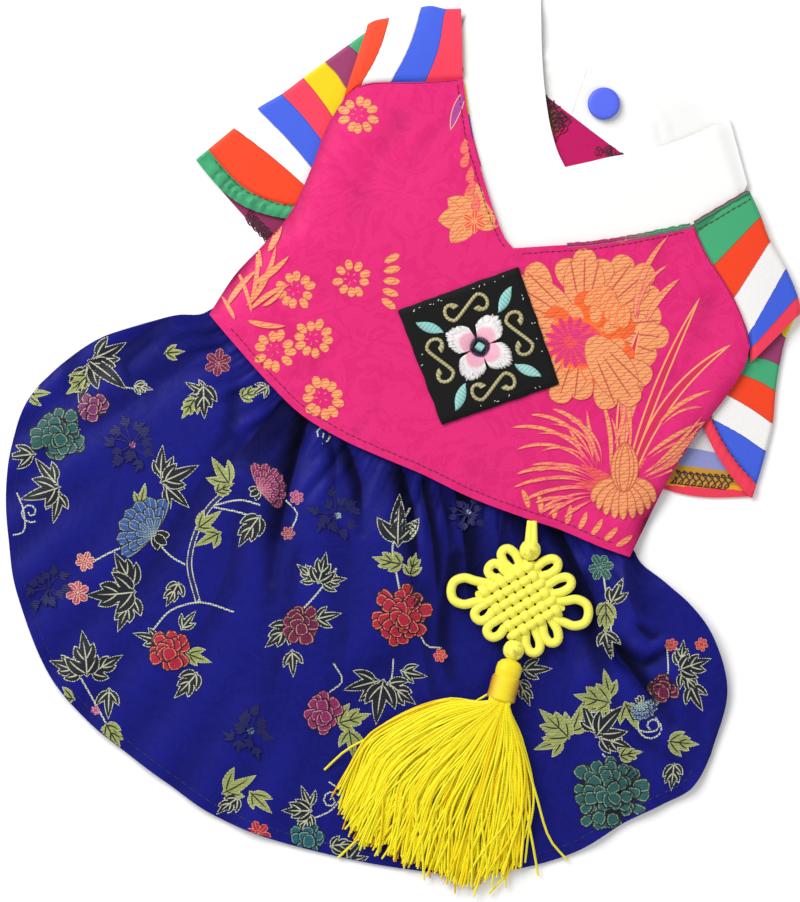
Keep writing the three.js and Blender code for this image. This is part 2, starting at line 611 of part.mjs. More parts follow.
/** Round cord button, a little flattened. */
function button({ x, y, z }) {
  const geometry = new THREE.SphereGeometry(3.6, 12, 8);
  geometry.scale(1, 0.95, 0.85);
  geometry.translate(x, y, z);
  return geometry;
}

/** The wound head and its strands, whose roots run into it. */
function tassel() {
  const from = new THREE.Vector3(HEAD.x1, HEAD.y1, HEAD.z);
  const to = new THREE.Vector3(HEAD.x2, HEAD.y2, HEAD.z);
  const axis = to.clone().sub(from).normalize();
  const across = new THREE.Vector3(-axis.y, axis.x, 0);
  const head = new THREE.CylinderGeometry(1, 1, from.distanceTo(to), 14, 2);
  head.scale(HEAD.width / 2, 1, HEAD.height / 2);
  head.applyMatrix4(new THREE.Matrix4().makeBasis(across, axis.clone().negate(), new THREE.Vector3(0, 0, 1)));
  head.translate(...from.clone().lerp(to, 0.5).toArray());
  const strands = [];
  for (let layer = 0; layer < STRAND_LAYERS; layer += 1) {
    for (let k = 0; k < STRANDS_A_LAYER; k += 1) strands.push(strand(layer, k, to, axis, across));
  }
  return join([head, ...strands]);
}

function strand(layer, k, root, axis, across) {
  const share = (k + (layer % 2) * 0.5 + 0.25) / STRANDS_A_LAYER;
  const at = (column) => lookUp(TASSEL, 'across', share, column);
  const level = layer / (STRAND_LAYERS - 1);
  const trim = 1 - 0.07 * Math.abs(Math.sin(5.1 * k + 2.3 * layer));
  const start = root.clone().addScaledVector(axis, -2)
    .addScaledVector(across, (share - 0.5) * 0.78 * HEAD.width);
  start.z += (level - 0.5) * 0.66 * HEAD.height;
  const via = new THREE.Vector3(at('x1'), at('y1'), 3.5 + 5 * level);
  const mid = new THREE.Vector3(at('x2'), at('y2'), 3 + 4.4 * level);
  const tip = mid.clone().lerp(new THREE.Vector3(at('x3'), at('y3'), 2.6 + 3.2 * level), trim);
  return rod([start, via.clone().lerp(start, 0.45), via, mid, tip], 3, (along) => lerp(0.12, 0.85, along ** 1.2));
}

// ---------------------------------------------------------------- finishes and assembly
function finish(color, roughness) {
  return new THREE.MeshStandardMaterial({ color, roughness, metalness: 0 });
}

const PIECES = [
  ['bodice_back', backPanel(), finish('#ea2a7e', 0.42)],
  ['belly_left', leftBelly(), finish('#e52a78', 0.45)],
  ['belly_right', rightBelly(), finish('#e8307c', 0.45)],
  ['sleeve_left_arm', sleeveArm(LEFT_SLEEVE), finish('#4a68d8', 0.4)],
  ['sleeve_left_cap', sleeveCap(LEFT_CAP, -1), finish('#f45a5a', 0.4)],
  ['sleeve_right_arm', sleeveArm(RIGHT_SLEEVE), finish('#4a66d4', 0.4)],
  ['sleeve_right_cap', sleeveCap(RIGHT_CAP, 1), finish('#f2584c', 0.4)],
  ['collar_back_left', collarBand(LEFT_COLLAR, backCollarHeight), finish('#f6f5f3', 0.5)],
  ['collar_back_right', collarBand(RIGHT_COLLAR, backCollarHeight), finish('#f5f4f2', 0.5)],
  ['collar_belly_left', collarBand(BELLY_COLLAR_LEFT, () => ON_FLOOR), finish('#f3f3f1', 0.5)],
  ['collar_belly_right', collarBand(BELLY_COLLAR_RIGHT, overlapHeight), finish('#f7f6f4', 0.5)],
  ['snap_cap', snapCap(), finish('#5569e6', 0.3)],
  ['skirt', skirt(), finish('#26208a', 0.4)],
  ['patch', patch(), finish('#100d10', 0.6)],
  ['norigae_strap', rod(curve(STRAP).getSpacedPoints(3), 8, () => CORD / 2), finish('#fbe93a', 0.5)],
  ...BUTTONS.map((row) => [row.name, button(row), finish('#f8e636', 0.5)]),
  ['norigae_knot', wovenKnot(), finish('#fdf240', 0.5)],
  ['norigae_tassel', tassel(), finish('#f5d814', 0.55)],
];

const garment = new THREE.Group();
for (const [name, geometry, material] of PIECES) {
  const mesh = new THREE.Mesh(geometry, material);
  mesh.name = name;
  garment.add(mesh);
}
const outline = new THREE.Box3().setFromObject(garment, true);
garment.position.set(-(outline.min.x + outline.max.x) / 2, -(outline.min.y + outline.max.y) / 2, -outline.min.z);

const part = new THREE.Group();
part.add(garment);
part.updateMatrixWorld(true);

export default part;
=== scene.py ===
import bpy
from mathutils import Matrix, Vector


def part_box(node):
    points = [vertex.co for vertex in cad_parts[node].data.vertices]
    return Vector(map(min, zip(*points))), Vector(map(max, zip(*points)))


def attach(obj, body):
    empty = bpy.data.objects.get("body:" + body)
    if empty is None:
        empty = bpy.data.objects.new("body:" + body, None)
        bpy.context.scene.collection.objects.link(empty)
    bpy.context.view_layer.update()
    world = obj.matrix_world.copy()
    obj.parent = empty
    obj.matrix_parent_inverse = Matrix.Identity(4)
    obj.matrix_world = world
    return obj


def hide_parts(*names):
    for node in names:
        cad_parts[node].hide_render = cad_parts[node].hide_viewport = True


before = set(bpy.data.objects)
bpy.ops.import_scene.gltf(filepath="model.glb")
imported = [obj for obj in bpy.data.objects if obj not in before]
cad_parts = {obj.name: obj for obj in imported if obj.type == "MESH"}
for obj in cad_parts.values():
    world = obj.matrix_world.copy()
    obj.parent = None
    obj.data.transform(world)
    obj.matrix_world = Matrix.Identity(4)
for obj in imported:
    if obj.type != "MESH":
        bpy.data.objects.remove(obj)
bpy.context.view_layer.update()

import random
from math import cos, degrees, dist, hypot, pi, radians, sin
from types import SimpleNamespace

import bpy
import numpy as np
from mathutils import Vector
from mathutils.bvhtree import BVHTree

# ---- sizes, in millimetres
MM = 0.001
CLOTH = 1  # wall of a cloth shell, a little thinner than its solid
ON_FLOOR = 0.6  # middle of a layer that lies on the surface
SECOND_LAYER = 2.1  # middle of a layer that lies on such a layer
COLLAR_HEIGHT = 3.6
BACK_HEIGHT = 5.5
BACK_EDGE_HEIGHT = 5.1
SIDE_ROLL = 9
SKIRT_TUCK = 3
GATHERS = 30
HEM_WAVES = 9
SNAP = SimpleNamespace(x=-12.3, y=134.3)
CORD = 3.6
CORD_TWIST = 1.1  # pitch of the threads in the cord
WINDING = 0.62  # pitch of the thread wound round the tassel's head
VIEW_CENTRE = (-13.3, -10.2)
VIEW_HEIGHT = 324.7
VIEW_ROLL = 30

snap_low, snap_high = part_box("snap_cap")
SHIFT = np.array([(snap_low[0] + snap_high[0]) / 2 - SNAP.x * MM, (snap_low[1] + snap_high[1]) / 2 - SNAP.y * MM, 0])
dice = random.Random(7)


def about(amount):
    """A random number from minus to plus the amount."""
    return dice.uniform(-amount, amount)


def table(names, rows):
    """Names the columns of a table; each column becomes an array."""
    columns = zip(names.split(), zip(*rows))
    return SimpleNamespace(**{name: np.array(column, float) for name, column in columns})


WAIST = table("x y", [
    (-97, -2), (-83, -7), (-65, -13), (-51, -16.5), (-34, -17), (-18.5, -15.5), (-3, -13.5), (17, -12),
    (38, -8.5), (50, -6), (66, -4), (77, -2)])
BACK_LEFT_SIDE = table("x y edge", [
    (-97, -2, 4.3), (-96, 15, 2.2), (-92.5, 30, 3.9), (-90, 44, 4), (-91.5, 62, 4), (-94, 78, 4),
    (-93.5, 90, 4.4), (-92, 95, 4.9)])
BACK_RIGHT_SIDE = table("x y edge", [
    (77, -2, 4.3), (76, 12, 2.2), (75.2, 24, 3.9), (75.2, 38, 4), (76, 51, 4), (78, 64, 4), (78.5, 78, 4.4),
    (76.5, 85, 4.9)])
LEFT_SEAM = table("x y", [(-92, 95), (-88, 99), (-73, 108), (-60.5, 116.5)])
LEFT_NECKLINE = table("x y", [
    (-60.5, 116.5), (-55, 109.5), (-48, 101), (-39.5, 92.5), (-31, 84.5), (-23.5, 78), (-18.5, 74.5), (-14.5, 73)])
RIGHT_NECKLINE = table("x y", [(-14.5, 73), (-2.5, 81), (8, 88), (20, 97.5), (28.5, 105), (37, 112.5)])
RIGHT_SEAM = table("x y", [(37, 112.5), (47, 105.5), (56, 101), (64.5, 96), (72, 90), (76.5, 85)])
# A fold's path through three points, then its depth and width.
BACK_FOLDS = [
    (-72, 92, -74, 76, -70, 56, -0.5, 5), (56, 90, 60, 74, 58, 56, -0.5, 5), (-88, 16, -66, 6, -40, -6, -0.45, 5),
    (70, 22, 52, 12, 34, 4, -0.45, 5), (-80, 40, -62, 46, -44, 44, 0.4, 6), (64, 44, 50, 50, 36, 50, 0.4, 6)]
BACK_CREASES = [
    (-56, 104, -62, 88, -60, 70, -0.28, 2.6), (-46, 94, -52, 82, -50, 66, 0.2, 3), (30, 100, 36, 88, 38, 70, -0.25, 3),
    (-84, 66, -72, 62, -60, 64, -0.3, 2.5), (-86, 30, -70, 26, -54, 28, -0.3, 2.5), (68, 60, 56, 62, 44, 60, -0.3, 2.5),
    (70, 8, 58, 2, 44, -2, 0.28, 2.4), (-60, -6, -52, 8, -48, 22, -0.22, 3), (-30, -12, -28, 0, -32, 12, -0.25, 2.6),
    (10, -8, 6, -2, 4, 4, 0.22, 2.4), (40, -2, 42, 10, 38, 22, -0.22, 3), (-20, 90, -30, 74, -52, 60, 0.2, 4)]

LEFT_SLEEVE = table("fx fy ux uy ox oy bow", [
    (-75, 134, -67, 129, -71, 131, 0), (-84, 130, -66, 120, -78, 125, 0), (-92, 121.5, -67.5, 110, -84, 115, 0),
    (-97.2, 115, -69.5, 100, -84, 104, 0), (-101, 107, -72, 90, -80, 93, 0), (-105, 98, -74.5, 80, -80.5, 85, 0),
    (-109, 89, -77, 70, -81, 77, 0), (-113, 79.5, -79.5, 60, -82, 69, 0.5), (-118, 70.5, -82, 51, -83, 62, 1.5),
    (-121.5, 61, -84, 43, -84.5, 56, 2.5), (-125.2, 51, -85.5, 36, -85.5, 49, 4.4),
    (-128, 43.5, -86.5, 30, -86.5, 43.5, 5.4)])
RIGHT_SLEEVE = table("fx fy ux uy ox oy bow", [
    (50.5, 129.5, 44.5, 126, 47, 127.5, 0), (59, 122.5, 46, 117, 54.5, 119, 0), (68.5, 116, 50, 109, 62, 110.5, 0),
    (79, 109, 55, 100, 68, 100.5, 0), (84, 103.5, 59, 91, 69, 92, 0), (85.3, 94, 62, 82, 69.5, 87, 0),
    (88, 85, 64.5, 73, 70, 82, 0), (91.7, 75.5, 66.5, 64, 70.2, 76, 0.5), (96.6, 65, 68.5, 55, 70.4, 70, 1.5),
    (99.4, 55.5, 70, 45, 70.6, 64.5, 2.5), (101.7, 46.5, 70.4, 34, 70.8, 60, 2.5),
    (103.6, 38.5, 70.8, 24.5, 71, 56.5, 2.5)])
LEFT_CAP = table("sx sy fx fy sz fz", [
    (-60.5, 116.5, -73.5, 138, 5.1, 4.9), (-67, 112.3, -78.5, 135, 5.2, 5), (-74.5, 107.6, -84, 133, 5.4, 5),
    (-82, 103.2, -89, 128, 5.4, 4.7), (-88.5, 98.8, -94, 122.5, 5.2, 4.4), (-92.2, 95, -98, 119, 4.9, 4.2),
    (-94.2, 88, -99.6, 116.5, 4.1, 4)])
RIGHT_CAP = table("sx sy fx fy sz fz", [
    (37, 112.5, 48.5, 133, 5.1, 4.9), (43.5, 108, 55.5, 128, 5.2, 5), (50.5, 103.8, 63.5, 121.5, 5.4, 5),
    (58, 99.8, 73, 116, 5.4, 4.7), (66.6, 95.2, 80, 111, 5.2, 4.4), (74.2, 89.4, 84.4, 107, 4.9, 4.2),
    (80.4, 80.8, 86.2, 104, 4.1, 4)])
LEFT_COLLAR = table("sx sy fx fy", [
    (-71.5, 140, -51.5, 157), (-69.5, 131, -47, 149.5), (-64.5, 119, -42.5, 142), (-58, 106.5, -38, 135),
    (-50.5, 98, -33.5, 128.5), (-42, 89.5, -28.5, 122), (-33.8, 81.8, -24, 116.8), (-26, 75, -18.5, 111.5),
    (-13.3, 69, -12.4, 107.3)])
RIGHT_COLLAR = table("sx sy fx fy", [
    (46.8, 135.2, 29.1, 152.7), (46.8, 128.5, 25.5, 147), (45.5, 119.5, 20.6, 140), (39.5, 109.5, 15.5, 134),
    (31, 101.5, 10.5, 128.7), (22.5, 94.5, 5, 123.7), (10.5, 85, -1, 118.7), (0, 77.5, -6.5, 113.5),
    (-14.2, 69, -13.3, 107.3)])
BELLY_COLLAR_LEFT = table("sx sy fx fy", [
    (-71, 137.6, -51.5, 157), (-52.5, 131, -38, 156), (-31.8, 126.8, -24, 154.5), (-14.5, 124.4, -10, 152.3),
    (4, 122.2, 5, 150.3)])
BELLY_COLLAR_RIGHT = table("sx sy fx fy", [
    (-20.2, 125, -22.5, 153.6), (-8, 123.4, -9, 152.2), (4, 122.2, 5, 150.4), (15, 122.4, 13, 150.3),
    (29.3, 125.8, 22, 151), (46, 132.5, 29.1, 152.7)])
BELLY_LEFT_SIDE = table("x y", [
    (-93, 1), (-91, 22), (-85.2, 30), (-83, 43), (-78.5, 60), (-73.5, 80), (-68.5, 100), (-64, 134)])
BELLY_RIGHT_SIDE = table("x y", [
    (73.5, 1.5), (72.5, 21.5), (69.4, 27), (68.5, 45), (65, 64), (60.5, 82), (53.5, 98.5), (47.5, 109),
    (43.4, 118), (41, 130)])
PLACKET = SimpleNamespace(left_panel=4, right_panel=-20, drop=26)

SKIRT_LEFT_SIDE = table("x y", [
    (-97, 1), (-100, -3.5), (-107, -8), (-117, -18), (-126, -28), (-133, -41), (-137.5, -54.5)])
SKIRT_HEM = table("x y", [
    (-137.5, -54.5), (-138, -66), (-134.5, -80), (-129, -93), (-121, -105.5), (-110, -120), (-96.5, -132.5),
    (-82, -143), (-63.5, -150), (-42.5, -153.5), (-25, -155.5), (-7.5, -157), (12, -155), (37.5, -148.5),
    (62, -140), (84.5, -129.5), (102, -116), (114.5, -102), (122.5, -87), (131.5, -73.5), (138, -63), (138, -49)])
SKIRT_RIGHT_SIDE = table("x y", [
    (77, 1), (82, -2), (92.5, -3.5), (105, -6), (117, -11.5), (131.5, -26), (138, -49)])
# A fold's path through three points, its depth and width, how dark the painted shade along it is, and how far
# that painted shade reaches to the path's left, or to its right where that is negative. A row may give several reaches.
SKIRT_FOLDS = [
    (-112, -14, -118, -28, -124, -48, -1.8, 4, 0.5, 5), (-90, -10, -104, -40, -121, -72, -1.6, 6, 0.35, -8),
    (-59.5, -16.5, -60.9, -31.4, -64.1, -47.4, -1.6, 3, 0.85, 11),
    (-47.5, -17.8, -42, -38.8, -30.3, -73.6, -2.6, 2.6, 1, -7),
    (-40, -50.9, -34, -65.7, -22.9, -88.5, -1, 4, 0.5, 4, -2),
    (-74.3, -22.5, -69.3, -36.3, -71.1, -48.1, -1.2, 3, 0.5, -2.4, 2.4),
    (-35.4, -20, -30.9, -25.7, -27.4, -34.5, -1.2, 2, 0.6, -3),
    (-29.3, -19, -19.4, -28.3, -11.2, -41.8, -1.8, 2.6, 0.95, -4),
    (-7.5, -17.2, 3.9, -29.8, 19.2, -53.4, -2.4, 2.6, 1, -5),
    (-0.5, -16.5, 14.8, -34.3, 29, -56, -1.8, 2.4, 1, 2.6),
    (6.9, -16.4, 14.5, -24.4, 23, -37, -1.2, 2.2, 0.8, 2.6),
    (12.8, -15, 22.4, -25.8, 39, -50.2, -2.2, 3.4, 1, 6),
    (6.9, -14.7, 19.5, -32.4, 33.7, -54.1, 0, 1, 0.2, -12, 12),
    (35.7, -8.5, 50, -18.9, 59.7, -30, -1.2, 4, 0.85, -5),
    (30.5, -10.3, 33.9, -19.9, 36.9, -26.5, -1.2, 3, 0.8, 4),
    (50.3, -5.8, 73.1, -21.4, 93, -36.5, -3, 4, 1, -5),
    (66.4, -18.6, 83.6, -36.1, 96.3, -48.7, 0, 1, 0.9, -4, 3),
    (89.9, -33.3, 103.1, -39, 119.7, -46, -3, 3, 1, 4),
    (93, -33.6, 100.5, -33, 106.1, -24, -2.6, 2.4, 0.95, 2),
    (93, -33.6, 100.5, -33, 106.1, -24, 0, 1, 0.8, -1.2),
    (93.8, -22.8, 98.3, -23.4, 100.6, -18.8, -1, 2, 0.7, 2.2),
    (75.8, -2.4, 82.5, -12.6, 96.1, -23.1, 1.4, 5, 0.6, 6),
    (105.2, -35.3, 110.2, -32.4, 113.6, -25.4, 1.2, 2.4, 0),
    (94.8, -28.8, 99.9, -27.6, 103.4, -22.2, 1.6, 2, 0),
    (-110.6, -21.5, -113.4, -32.6, -106.9, -38, -1.4, 4, 0.6, -3),
    (-40.2, -21.1, -26.4, -46.4, -14.5, -72.8, 1.4, 6, 0), (-14.5, -18.8, -4.6, -33.8, 7.3, -60.2, 1.3, 6, 0),
    (-54.3, -54.2, -44.6, -81.9, -41.1, -113.1, -0.9, 7, 0.35, 4),
    (-9.2, -53.1, 3.9, -78.8, 13.3, -106.6, -0.8, 8, 0.25, -6),
    (44.7, -38.6, 54.9, -57.7, 63.8, -77.5, 0, 1, 0.25, 14),
    (-65.3, -38.1, -68.9, -75.1, -69, -120.9, -1.2, 6, 0.42, 4.5, -2.5),
    (-129.8, -21.3, -133.1, -37.3, -124.6, -54.9, -1.2, 4, 0.45, 3, -1.6),
    (-100.5, -10.2, -106.3, -21.9, -99.9, -47.3, -0.8, 5, 0.35, 5),
    (-24.8, -62.1, -14.8, -89.6, -6.1, -122, -0.6, 6, 0.3, -5),
    (95.8, -50.7, 113.6, -57, 134.6, -57.4, -0.8, 5, 0.3, 4),
    (22.2, -33.3, 33.5, -61.7, 51, -78.2, -1, 3, 0.85, 3.4, -2),
    (18, -49.9, 30, -67.9, 46.4, -87.5, -0.8, 4, 0.55, 3), (92, -52, 108, -66, 122, -78, -1.6, 7, 0.25, 8)]
PRESSED = [(50, -34, 38, 2.2), (60, -62, 26, 1.8), (60, -92, 50, 1.3), (64, -118, 60, 1)]

# ---- curves and heights


def spline(rows, per_span=24):
    """Dense points on a smooth curve through a table's points; resample() spaces such points evenly along it."""
    points = np.column_stack([rows.x, rows.y]) if hasattr(rows, "x") else np.array(rows, float)
    ghosts = np.vstack([2 * points[0] - points[1], points, 2 * points[-1] - points[-2]])
    dense = []
    for p0, p1, p2, p3 in zip(ghosts, ghosts[1:], ghosts[2:], ghosts[3:]):
        knots = np.cumsum([0] + [max(np.linalg.norm(b - a), 1e-6) ** 0.5 for a, b in ((p0, p1), (p1, p2), (p2, p3))])
        t = np.linspace(knots[1], knots[2], per_span, endpoint=False)[:, None]

        def between(a, b, low, high):
            return ((high - t) * a + (t - low) * b) / (high - low)

        a1, a2, a3 = (between(p, q, knots[i], knots[i + 1]) for i, (p, q) in enumerate(((p0, p1), (p1, p2), (p2, p3))))
        b1, b2 = between(a1, a2, knots[0], knots[2]), between(a2, a3, knots[1], knots[3])
        dense.append(between(b1, b2, knots[1], knots[2]))
    return np.vstack(dense + [points[-1:]])


def resample(path, shares):
    """Points of a path at the given shares of its length."""
    steps = np.linalg.norm(np.diff(path, axis=0), axis=1)
    run = np.concatenate([[0], np.cumsum(steps)]) / steps.sum()
    return np.column_stack([np.interp(shares, run, path[:, k]) for k in range(path.shape[1])])


def length_of(path):
    return float(np.linalg.norm(np.diff(path, axis=0), axis=1).sum())


def even(count):
    """Shares from 0 to 1, evenly spread."""
    return np.linspace(0, 1, count)


def toward(turn):
    """Cosine and sine of a direction in degrees."""
    return cos(radians(turn)), sin(radians(turn))


def unit(vectors):
    return vectors / np.maximum(np.linalg.norm(vectors, axis=-1, keepdims=True), 1e-9)


def run_of(path):
    """Distance along a path at each of its points."""
    return np.concatenate([[0], np.cumsum(np.linalg.norm(np.diff(path, axis=0), axis=1))])


def ease(value, low, high):
    t = np.clip((value - low) / (high - low), 0, 1)
    return t * t * (3 - 2 * t)


def mix(a, b, share):
    return a + (b - a) * share


def nearest(x, y, path):
    """Distance from each point to a path, which side of it the point is on, and how far along."""
    best, side, along = np.full_like(x, np.inf), np.zeros_like(x), np.zeros_like(x)
    for k, ((ax, ay), (bx, by)) in enumerate(zip(path, path[1:])):
        squared = (bx - ax) ** 2 + (by - ay) ** 2
        share = np.clip(((x - ax) * (bx - ax) + (y - ay) * (by - ay)) / squared, 0, 1)
        distance = np.hypot(x - mix(ax, bx, share), y - mix(ay, by, share))
        nearer = distance < best
        best = np.where(nearer, distance, best)
        side = np.where(nearer, (bx - ax) * (y - ay) - (by - ay) * (x - ax), side)
        along = np.where(nearer, (k + share) / (len(path) - 1), along)
    return best, side, along


def fold_depth(x, y, folds):
    """Sum of the folds at each point; each is deepest where it starts."""
    total = np.zeros_like(x)
    for x1, y1, x2, y2, x3, y3, depth, width, *_ in folds:
        best, _, along = nearest(x, y, ((x1, y1), (x2, y2), (x3, y3)))
        total += depth * np.exp(-((best / width) ** 2)) * (1 - 0.6 * along)
    return total


def fold_shade(x, y, folds):
    """The darkest painted shade at each point: sharp on one side of a fold's path, fading on the other."""
    darkest = np.zeros_like(x)
    for x1, y1, x2, y2, x3, y3, _, _, dark, *reaches in folds:
        best, side, along = nearest(x, y, resample(spline([(x1, y1), (x2, y2), (x3, y3)]), even(40)))
        for reach in reaches:
            soft = abs(reach) * mix(1.3, 0.85, along)
            level = np.where(side * reach > 0, 1 / (1 + (best / soft) ** 3.5), np.exp(-((best / 0.9) ** 2)))
            level = dark * level * (1 - 0.35 * along ** 2) * ease(1.02 - along, 0, 0.35)
            darkest = np.maximum(darkest, level)
    return darkest


def ripple(x, y, size, seed):
    """Smooth unevenness between -1 and 1 with bumps of about the given size."""
    rng = np.random.default_rng(seed)
    total = np.zeros_like(x)
    for _ in range(7):
        angle, phase, scale = rng.uniform(0, pi), rng.uniform(0, 2 * pi), rng.uniform(0.7, 1.5)
        total += np.sin((x * cos(angle) + y * sin(angle)) * pi / (size * scale) + phase)
    return total / 7


def back_height(x, y):
    from_left = x - np.interp(y, BACK_LEFT_SIDE.y, BACK_LEFT_SIDE.x)
    from_right = np.interp(y, BACK_RIGHT_SIDE.y, BACK_RIGHT_SIDE.x) - x
    edge = np.where(from_left < from_right, np.interp(y, BACK_LEFT_SIDE.y, BACK_LEFT_SIDE.edge),
                    np.interp(y, BACK_RIGHT_SIDE.y, BACK_RIGHT_SIDE.edge))
    near = np.minimum(from_left, from_right)
    rise = np.sqrt(ease(near, 0, SIDE_ROLL))
    crown = mix(BACK_EDGE_HEIGHT, BACK_HEIGHT, ease(y, -14, 20) * (1 - ease(y, 60, 110)))
    creases = fold_depth(x, y, BACK_FOLDS) + fold_depth(x, y, BACK_CREASES) + 0.1 * ripple(x, y, 13, 3)
    return mix(edge, crown, rise) + creases * ease(near, 2, SIDE_ROLL)


def overlap_height(x):
    return mix(SECOND_LAYER, ON_FLOOR, ease(x, PLACKET.left_panel + 2, PLACKET.drop))


def skirt_height(x, y, down, around):
    ends = ease(np.minimum(around, 1 - around), 0, 0.05)
    puff = mix(mix(1.2, 2.1, ends), 5.4, ease(down, 0.03, 0.24))
    rise = puff * mix(1, 0.32, ease(down, 0.3, 1))
    wander = 1.3 * np.sin(9 * around) + 0.5 * np.sin(31 * around + 1) * ease(down, 0.05, 0.4)
    uneven = 0.15 + 0.85 * (0.5 + 0.5 * np.sin(61 * around) * np.sin(23 * around + 2)) ** 2
    gather = ends * mix(0.5, 0.85, ease(down, 0.03, 0.12)) * (1 - ease(down, 0.08, 0.3)) * uneven
    height = rise + gather * np.cos(2 * pi * GATHERS * around + wander)
    fine = 0.1 * ends * (1 - ease(down, 0.02, 0.16))
    height += fine * np.cos(2 * pi * 2.37 * GATHERS * around + 2 * np.sin(23 * around))
    height += fold_depth(x, y, SKIRT_FOLDS) * ease(down, -0.06, 0.08)
    height += 0.9 * ease(down, 0.5, 1) * np.sin(2 * pi * HEM_WAVES * around) ** 2
    height += 0.35 * ripple(x, y, 17, 5) * ease(down, 0.2, 0.5)
    for px, py, radius, level in PRESSED:
        inside = 1 - ease(np.hypot(x - px, y - py), radius * 0.72, radius * 1.1)
        height = mix(height, np.minimum(height, level), inside)
    return np.maximum(ON_FLOOR, height)


# ---- meshes


LIGHT = 1.2  # what a white surface sends back in the studio
HAZE = 0.012  # what a black one does


def colour(red, green, blue):
    """The base colour that looks like a screen colour from 0 to 255 under the studio's light."""
    def base(v):
        v /= 255
        seen = v / 12.92 if v <= 0.04045 else ((v + 0.055) / 1.055) ** 2.4
        return min(0.95, max(0.0015, (seen - HAZE) / LIGHT))
    return (base(red), base(green), base(blue), 1)


def place(points):
    return np.asarray(points) * MM + SHIFT


def link(name, data):
    """A new object in the scene."""
    thing = bpy.data.objects.new(name, data)
    bpy.context.collection.objects.link(thing)
    return thing


def pick(piece):
    """Selects one piece alone."""
    bpy.ops.object.select_all(action="DESELECT")
    piece.select_set(True)
    bpy.context.view_layer.objects.active = piece


def add_mesh(name, points, faces, material, uv=None, values=None, colours=None, angle=40):
    """A piece from points in millimetres, with optional uv, numbers and colours for each point."""
    mesh = bpy.data.meshes.new(name)
    mesh.from_pydata(place(points).tolist(), [], faces if isinstance(faces, list) else faces.tolist())
    loops = np.empty(len(mesh.loops), dtype=np.int64)
    mesh.loops.foreach_get("vertex_index", loops)
    if uv is not None:
        layer = mesh.uv_layers.new(name="cloth")
        layer.data.foreach_set("uv", np.asarray(uv, float)[loops].ravel())
    for key, numbers in (values or {}).items():
        mesh.attributes.new(key, "FLOAT", "POINT").data.foreach_set("value", np.asarray(numbers, float).ravel())
    for key, tints in (colours or {}).items():
        layer = mesh.attributes.new(key, "FLOAT_COLOR", "POINT")
        layer.data.foreach_set("color", np.asarray(tints, float).ravel())
    mesh.materials.append(material)
    piece = link(name, mesh)
    pick(piece)
    bpy.ops.object.shade_smooth_by_angle(angle=radians(angle))
    return piece


def grid_faces(m, n, start=0, flip=False):
    i, j = np.meshgrid(np.arange(m - 1), np.arange(n - 1), indexing="ij")
    a = (start + i * n + j).ravel()
    quads = np.column_stack([a, a + n, a + n + 1, a + 1])
    return quads[:, ::-1] if flip else quads


def grid_normals(grid):
    return unit(np.cross(np.gradient(grid, axis=0), np.gradient(grid, axis=1)))


def shell(name, grid, material, uv, wall, values):
    """Closed cloth wall round a grid of points. Its value "side" is 1 on the lower side."""
    m, n = grid.shape[:2]
    normals = grid_normals(grid)
    if normals[m // 2, n // 2, 2] < 0 and "keep" not in values:
        grid, normals, uv = grid[:, ::-1], -normals[:, ::-1], uv[:, ::-1]
        values = {key: v[:, ::-1] for key, v in values.items()}
    offset = normals * wall / 2
    points = np.vstack([(grid + offset).reshape(-1, 3), (grid - offset).reshape(-1, 3)])
    size = m * n
    quads = [grid_faces(m, n), grid_faces(m, n, size, True)]
    ring = np.concatenate([
        np.arange(m) * n, (m - 1) * n + np.arange(1, n), np.arange(m - 2, -1, -1) * n + n - 1, np.arange(n - 2, 0, -1)])
    after = np.roll(ring, -1)
    quads.append(np.column_stack([ring + size, after + size, after, ring]))
    doubled = {key: np.tile(v.ravel(), 2) for key, v in values.items() if key != "keep"}
    doubled["side"] = np.repeat([0, 1], size)
    flat_uv = np.vstack([uv.reshape(-1, 2)] * 2)
    return add_mesh(name, points, np.vstack(quads), material, flat_uv, doubled)


def fill(bottom, top, left, right, rows=None):
    """Points inside four edges given as arrays of points; rows are the shares down the sides."""
    u = even(len(bottom))[None, :, None]
    v = (even(len(left)) if rows is None else rows)[:, None, None]
    corners = mix(mix(bottom[0], bottom[-1], u), mix(top[0], top[-1], u), v)
    return mix(bottom[None], top[None], v) + mix(left[:, None], right[:, None], u) - corners


def relief_values(height, reach=5, scale=1.2):
    """How far each point of a height grid lies in a hollow or on a crest, from 0 to 1; the finishes paint shade into
    the hollows and a highlight onto the crests.
    """
    smooth = height
    for _ in range(3):
        for axis in (0, 1):
            pad = [(reach, reach) if k == axis else (0, 0) for k in (0, 1)]
            total = np.cumsum(np.pad(smooth, pad, mode="edge"), axis=axis)
            total = np.insert(total, 0, 0, axis=axis)
            count = smooth.shape[axis]
            upper, lower = np.arange(count) + 2 * reach + 1, np.arange(count)
            smooth = (np.take(total, upper, axis) - np.take(total, lower, axis)) / (2 * reach + 1)
    return {"hollow": np.clip((smooth - height) / scale, 0, 1), "crest": np.clip((height - smooth) / scale, 0, 1)}


def surface_under(*pieces):
    """Tree of faces to drop points on."""
    points, faces = [], []
    for piece in pieces:
        start = len(points)
        points += [tuple(v.co) for v in piece.data.vertices]
        faces += [[start + k for k in face.vertices] for face in piece.data.polygons]
    return BVHTree.FromPolygons(points, faces)


def drop(tree, x, y, rise=0):
    """Heights in millimetres of the surface under each point, moved up a little."""
    heights = np.zeros(np.shape(x))
    for index, (px, py) in enumerate(zip(np.ravel(x), np.ravel(y))):
        spot = np.array([px, py, 0]) * MM + SHIFT
        hit = tree.ray_cast(Vector((spot[0], spot[1], 0.05)), Vector((0, 0, -1)))[0]
        if hit is not None:
            heights.flat[index] = hit.z / MM
    return heights + rise


# ---- finishes


